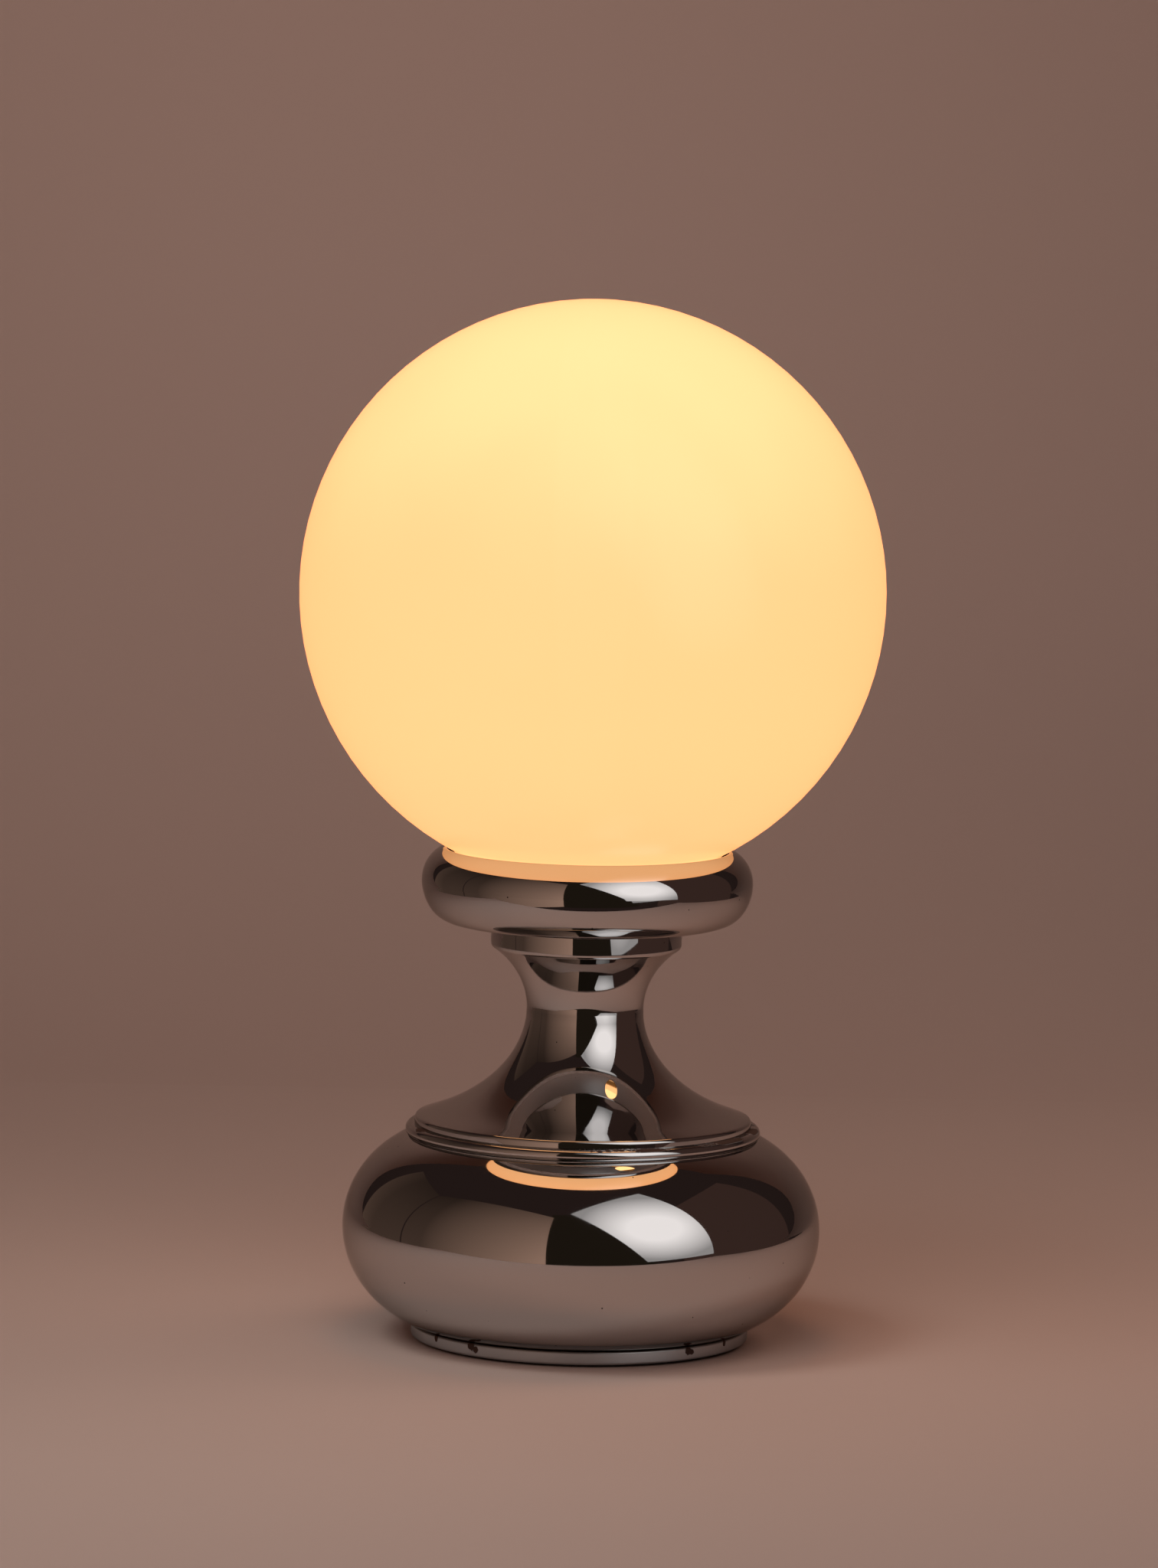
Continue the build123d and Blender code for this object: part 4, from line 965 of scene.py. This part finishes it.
# Cards that only reflections show, by their corners
BROWN_RIGHT = ((3, -2.5, -1), (3, 1.6, -1), (3, 1.6, 4), (3, -2.5, 4))
BLACK_FRONT = ((-0.95, -3.0, -1), (2.2, -3.0, -1), (2.2, -3.0, 3.6), (-0.95, -3.0, 3.6))
SOFTBOX = (
    (0.614, -1.025, -0.037),
    (1.066, -0.523, 0.041),
    (0.373, -0.252, 1.108),
    (-0.086, -0.78, 0.93),
)
LEFT_PANEL = (
    (-0.465, -1.623, -0.4),
    (-1.927, 0.119, -0.4),
    (-1.927, 0.119, 1.72),
    (-0.465, -1.623, 1.72),
)
LEFT_WALL = ((-1.85, 0.14, -0.4), (-1.455, 1.22, -0.4), (-1.455, 1.22, 1.65), (-1.85, 0.14, 1.65))

# Tones of the room
BLACK = (0.0, 0.0, 0.0, 1.0)
STUDIO_DARK = (0.024, 0.014, 0.012, 1.0)
STUDIO_BLACK = (0.016, 0.011, 0.007, 1.0)
STUDIO_BROWN = (0.053, 0.028, 0.022, 1.0)
PANEL_TINT = (0.38, 0.228, 0.165, 1.0)
SOFTBOX_TINT = (1.0, 0.93, 0.9, 1.0)
PAPER_TINT = (0.56, 0.366, 0.307, 1.0)
PAPER_PATCH = (0.54, 0.352, 0.294, 1.0)
PAPER_CLOUD_SCALE = 2.0
PAPER_CLOUD_DETAIL = 3.0
ROOM_TINT = (0.2, 0.122, 0.094, 1.0)

# Falloffs: the span in metres, and the levels at its two ends
SOFTBOX_CENTRE = (0.492, -0.645, 0.51)
SOFTBOX_SPAN = (0.2, 0.6)
SOFTBOX_LEVELS = (1.31, 0.4)
PANEL_RISE_SPAN = (-0.1, 1.7)
PANEL_RISE_LEVELS = (1.0, 0.4)
PANEL_ALONG_SPAN = (-1.6, -0.5)
PANEL_ALONG_LEVELS = (0.2, 1.03)
FAR_GLOW_SPAN = (0.9, 3.2)

# Camera, in metres, millimetres of lens and degrees of lean
CAMERA_EYE = (0.0, -3.4, 0.61)
CAMERA_TARGET = (-0.0044, 0.0, 0.2393)
CAMERA_LENS = 183.85
CAMERA_SENSOR = 36.0
CAMERA_REACH = 60.0
CAMERA_LEAN = 1.086

paper_sheets = bpy.data.collections.new("paper_sheets")


def make_paper(name, far_glow):
    """Matt paper. Its back can be looked through, and far from the lamp it may glow."""
    material, tree, shader = start_material(
        name,
        Roughness=0.9,
        Specular_IOR_Level=0.1,
        Emission_Strength=far_glow,
    )
    place = surface_place(tree)
    cloud = noise(tree, place, PAPER_CLOUD_SCALE, PAPER_CLOUD_DETAIL)
    tree.links.new(mix(tree, cloud, PAPER_TINT, PAPER_PATCH), shader.inputs["Base Color"])
    away = add(tree, "ShaderNodeVectorMath", {0: place}, operation="LENGTH").outputs["Value"]
    far = fade(tree, away, *FAR_GLOW_SPAN)
    tree.links.new(mix(tree, far, BLACK, ROOM_TINT), shader.inputs["Emission Color"])
    back = add(tree, "ShaderNodeNewGeometry").outputs["Backfacing"]
    clear = add(tree, "ShaderNodeBsdfTransparent").outputs["BSDF"]
    both = add(tree, "ShaderNodeMixShader", {0: back, 1: shader.outputs["BSDF"], 2: clear})
    tree.links.new(both.outputs["Shader"], tree.nodes["Material Output"].inputs["Surface"])
    return material


def start_glow(name, colour):
    """A sheet that only gives off light. Returns its tree too, for a falloff."""
    material = bpy.data.materials.new(name)
    material.use_nodes = True
    tree = material.node_tree
    tree.nodes.remove(tree.nodes["Principled BSDF"])
    light = add(tree, "ShaderNodeEmission", {"Color": colour, "Strength": 1.0})
    tree.links.new(light.outputs["Emission"], tree.nodes["Material Output"].inputs["Surface"])
    return material, tree, light


def make_softbox_cloth():
    """Brightest over the flash tube, dimmer in the corners."""
    material, tree, light = start_glow("softbox_cloth", SOFTBOX_TINT)
    place = surface_place(tree)
    away = add(tree, "ShaderNodeVectorMath", {0: place, 1: SOFTBOX_CENTRE}, operation="DISTANCE")
    level = ramp(tree, away.outputs["Value"], SOFTBOX_SPAN, SOFTBOX_LEVELS)
    tree.links.new(level, light.inputs["Strength"])
    return material


def make_panel_paint():
    """A wall lit from below and from the right."""
    material, tree, light = start_glow("wall_panel", PANEL_TINT)
    spot = add(tree, "ShaderNodeSeparateXYZ", {"Vector": surface_place(tree)})
    rise = ramp(tree, spot.outputs["Z"], PANEL_RISE_SPAN, PANEL_RISE_LEVELS)
    along = ramp(tree, spot.outputs["X"], PANEL_ALONG_SPAN, PANEL_ALONG_LEVELS)
    tree.links.new(maths(tree, "MULTIPLY", rise, along), light.inputs["Strength"])
    return material


def make_sheet(name, corners, material):
    """A flat four-cornered sheet, its corners given in metres."""
    shape = bmesh.new()
    shape.faces.new([shape.verts.new(corner) for corner in corners])
    sheet = make_object(name, shape)
    sheet.data.materials.append(material)
    return sheet


def make_card(name, corners, material, lights_room):
    """A sheet that shows only as a reflection. It may light the room as well."""
    card = make_sheet(name, corners, material)
    card.visible_camera = False
    card.visible_diffuse = lights_room
    card.visible_transmission = False
    card.visible_volume_scatter = False
    card.visible_shadow = False


def make_floor_sheet(name, west, east, south, north, material):
    """A flat stretch of the floor, just under the lamp's foot."""
    sheet = make_sheet(
        name,
        [(west, south, FLOOR_Z), (east, south, FLOOR_Z), (east, north, FLOOR_Z), (west, north, FLOOR_Z)],
        material,
    )
    paper_sheets.objects.link(sheet)
    return sheet


def make_sweep(material):
    """The floor's rise into the backdrop, with its front to the lamp."""
    shape = bmesh.new()
    foot = shape.verts.new((SWEEP_WEST, TABLE_BACK, FLOOR_Z))
    swing = bmesh.ops.spin(
        shape,
        geom=[foot],
        cent=(SWEEP_WEST, TABLE_BACK, FLOOR_Z + SWEEP_RADIUS),
        axis=(1, 0, 0),
        angle=radians(90),
        steps=SWEEP_STEPS,
    )
    top = [item for item in swing["geom_last"] if isinstance(item, bmesh.types.BMVert)][0]
    join(shape, top, shape.verts.new(top.co + Vector((0, 0, SWEEP_RISE))))
    wide = bmesh.ops.extrude_edge_only(shape, edges=shape.edges[:])
    moved = [item for item in wide["geom"] if isinstance(item, bmesh.types.BMVert)]
    bmesh.ops.translate(shape, vec=(SWEEP_EAST - SWEEP_WEST, 0, 0), verts=moved)
    bmesh.ops.recalc_face_normals(shape, faces=shape.faces)
    shape.normal_update()
    if sum(face.normal.z for face in shape.faces) < 0:
        bmesh.ops.reverse_faces(shape, faces=shape.faces)
    sweep = make_object("studio_sweep", shape)
    sweep.data.shade_smooth()
    sweep.data.materials.append(material)
    paper_sheets.objects.link(sweep)


def make_room():
    paper = make_paper("studio_paper", 0.0)
    outer_paper = make_paper("outer_paper", 1.0)
    make_floor_sheet("table", TABLE_WEST, TABLE_EAST, TABLE_FRONT, TABLE_BACK, paper)
    make_sweep(paper)
    for name, *sides in (
        ("floor_front", -FLOOR_REACH, FLOOR_REACH, -FLOOR_REACH, TABLE_FRONT),
        ("floor_left", -FLOOR_REACH, TABLE_WEST, TABLE_FRONT, TABLE_BACK),
        ("floor_right", TABLE_EAST, FLOOR_REACH, TABLE_FRONT, TABLE_BACK),
        ("floor_back", -FLOOR_REACH, FLOOR_REACH, TABLE_BACK, FLOOR_REACH),
    ):
        make_floor_sheet(name, *sides, outer_paper).visible_glossy = False

    black = start_glow("room_black", STUDIO_BLACK)[0]
    brown = start_glow("room_brown", STUDIO_BROWN)[0]
    soft = make_softbox_cloth()
    panel = make_panel_paint()
    make_card("brown_right", BROWN_RIGHT, brown, lights_room=False)
    make_card("black_front", BLACK_FRONT, black, lights_room=False)
    make_card("softbox", SOFTBOX, soft, lights_room=False)
    make_card("left_panel", LEFT_PANEL, panel, lights_room=True)
    make_card("left_wall", LEFT_WALL, panel, lights_room=True)


def make_lamp_light(name, spot, target, size, power, colour, spread, receivers=None, blockers=None):
    """A soft light that the chrome doesn't mirror. It may reach some pieces only, or be shaded by some."""
    light = bpy.data.lights.new(name, "AREA")
    light.shape = "SQUARE"
    light.size = size
    light.energy = power
    light.color = colour
    light.spread = radians(spread)
    holder = bpy.data.objects.new(name, light)
    bpy.context.scene.collection.objects.link(holder)
    holder.location = spot
    holder.rotation_mode = "QUATERNION"
    holder.rotation_quaternion = (Vector(target) - Vector(spot)).to_track_quat("-Z", "Y")
    holder.visible_glossy = False
    holder.visible_camera = False
    holder.light_linking.receiver_collection = receivers
    holder.light_linking.blocker_collection = blockers


def make_lights():
    make_lamp_light(
        "key_light",
        spot=(-0.4, -1.5, 1.4),
        target=(0, -0.1, 0.05),
        size=1.9,
        power=10.2,
        colour=(0.96, 1.0, 1.0),
        spread=130,
    )
    make_lamp_light(
        "fill_light",
        spot=(0.9, 0.35, 0.85),
        target=(0.2, 0.12, 0),
        size=0.7,
        power=0.9,
        colour=(1.0, 0.82, 0.7),
        spread=100,
    )
    make_lamp_light(
        "floor_light",
        spot=(-0.75, -0.45, 1.15),
        target=(-0.1, -0.2, 0),
        size=0.5,
        power=0.92,
        colour=(0.68, 0.86, 0.9),
        spread=70,
        receivers=paper_sheets,
        blockers=base_pieces,
    )
    make_lamp_light(
        "back_light",
        spot=(-0.35, 0.25, 1.9),
        target=(-0.1, 1.7, 0.5),
        size=0.8,
        power=2.4,
        colour=(1.0, 0.97, 0.93),
        spread=90,
    )


def make_world():
    """Dark all round in the chrome, and paper-coloured where the camera looks past the sweep."""
    world = bpy.data.worlds.new("studio_room")
    bpy.context.scene.world = world
    world.use_nodes = True
    tree = world.node_tree
    seen = add(tree, "ShaderNodeLightPath").outputs["Is Camera Ray"]
    colour = mix(tree, seen, STUDIO_DARK, ROOM_TINT)
    tree.links.new(colour, tree.nodes["Background"].inputs["Color"])


def make_camera():
    eye = Vector(CAMERA_EYE)
    data = bpy.data.cameras.new("photo_camera")
    data.lens = CAMERA_LENS
    data.sensor_width = CAMERA_SENSOR
    data.clip_end = CAMERA_REACH
    camera = bpy.data.objects.new("photo_camera", data)
    bpy.context.scene.collection.objects.link(camera)
    camera.location = eye
    camera.rotation_mode = "QUATERNION"
    lean = Quaternion((0, 0, 1), radians(CAMERA_LEAN))
    camera.rotation_quaternion = (Vector(CAMERA_TARGET) - eye).to_track_quat("-Z", "Y") @ lean
    bpy.context.scene.camera = camera


make_room()
make_world()
make_lights()
make_camera()
bpy.context.scene.view_settings.view_transform = "Standard"
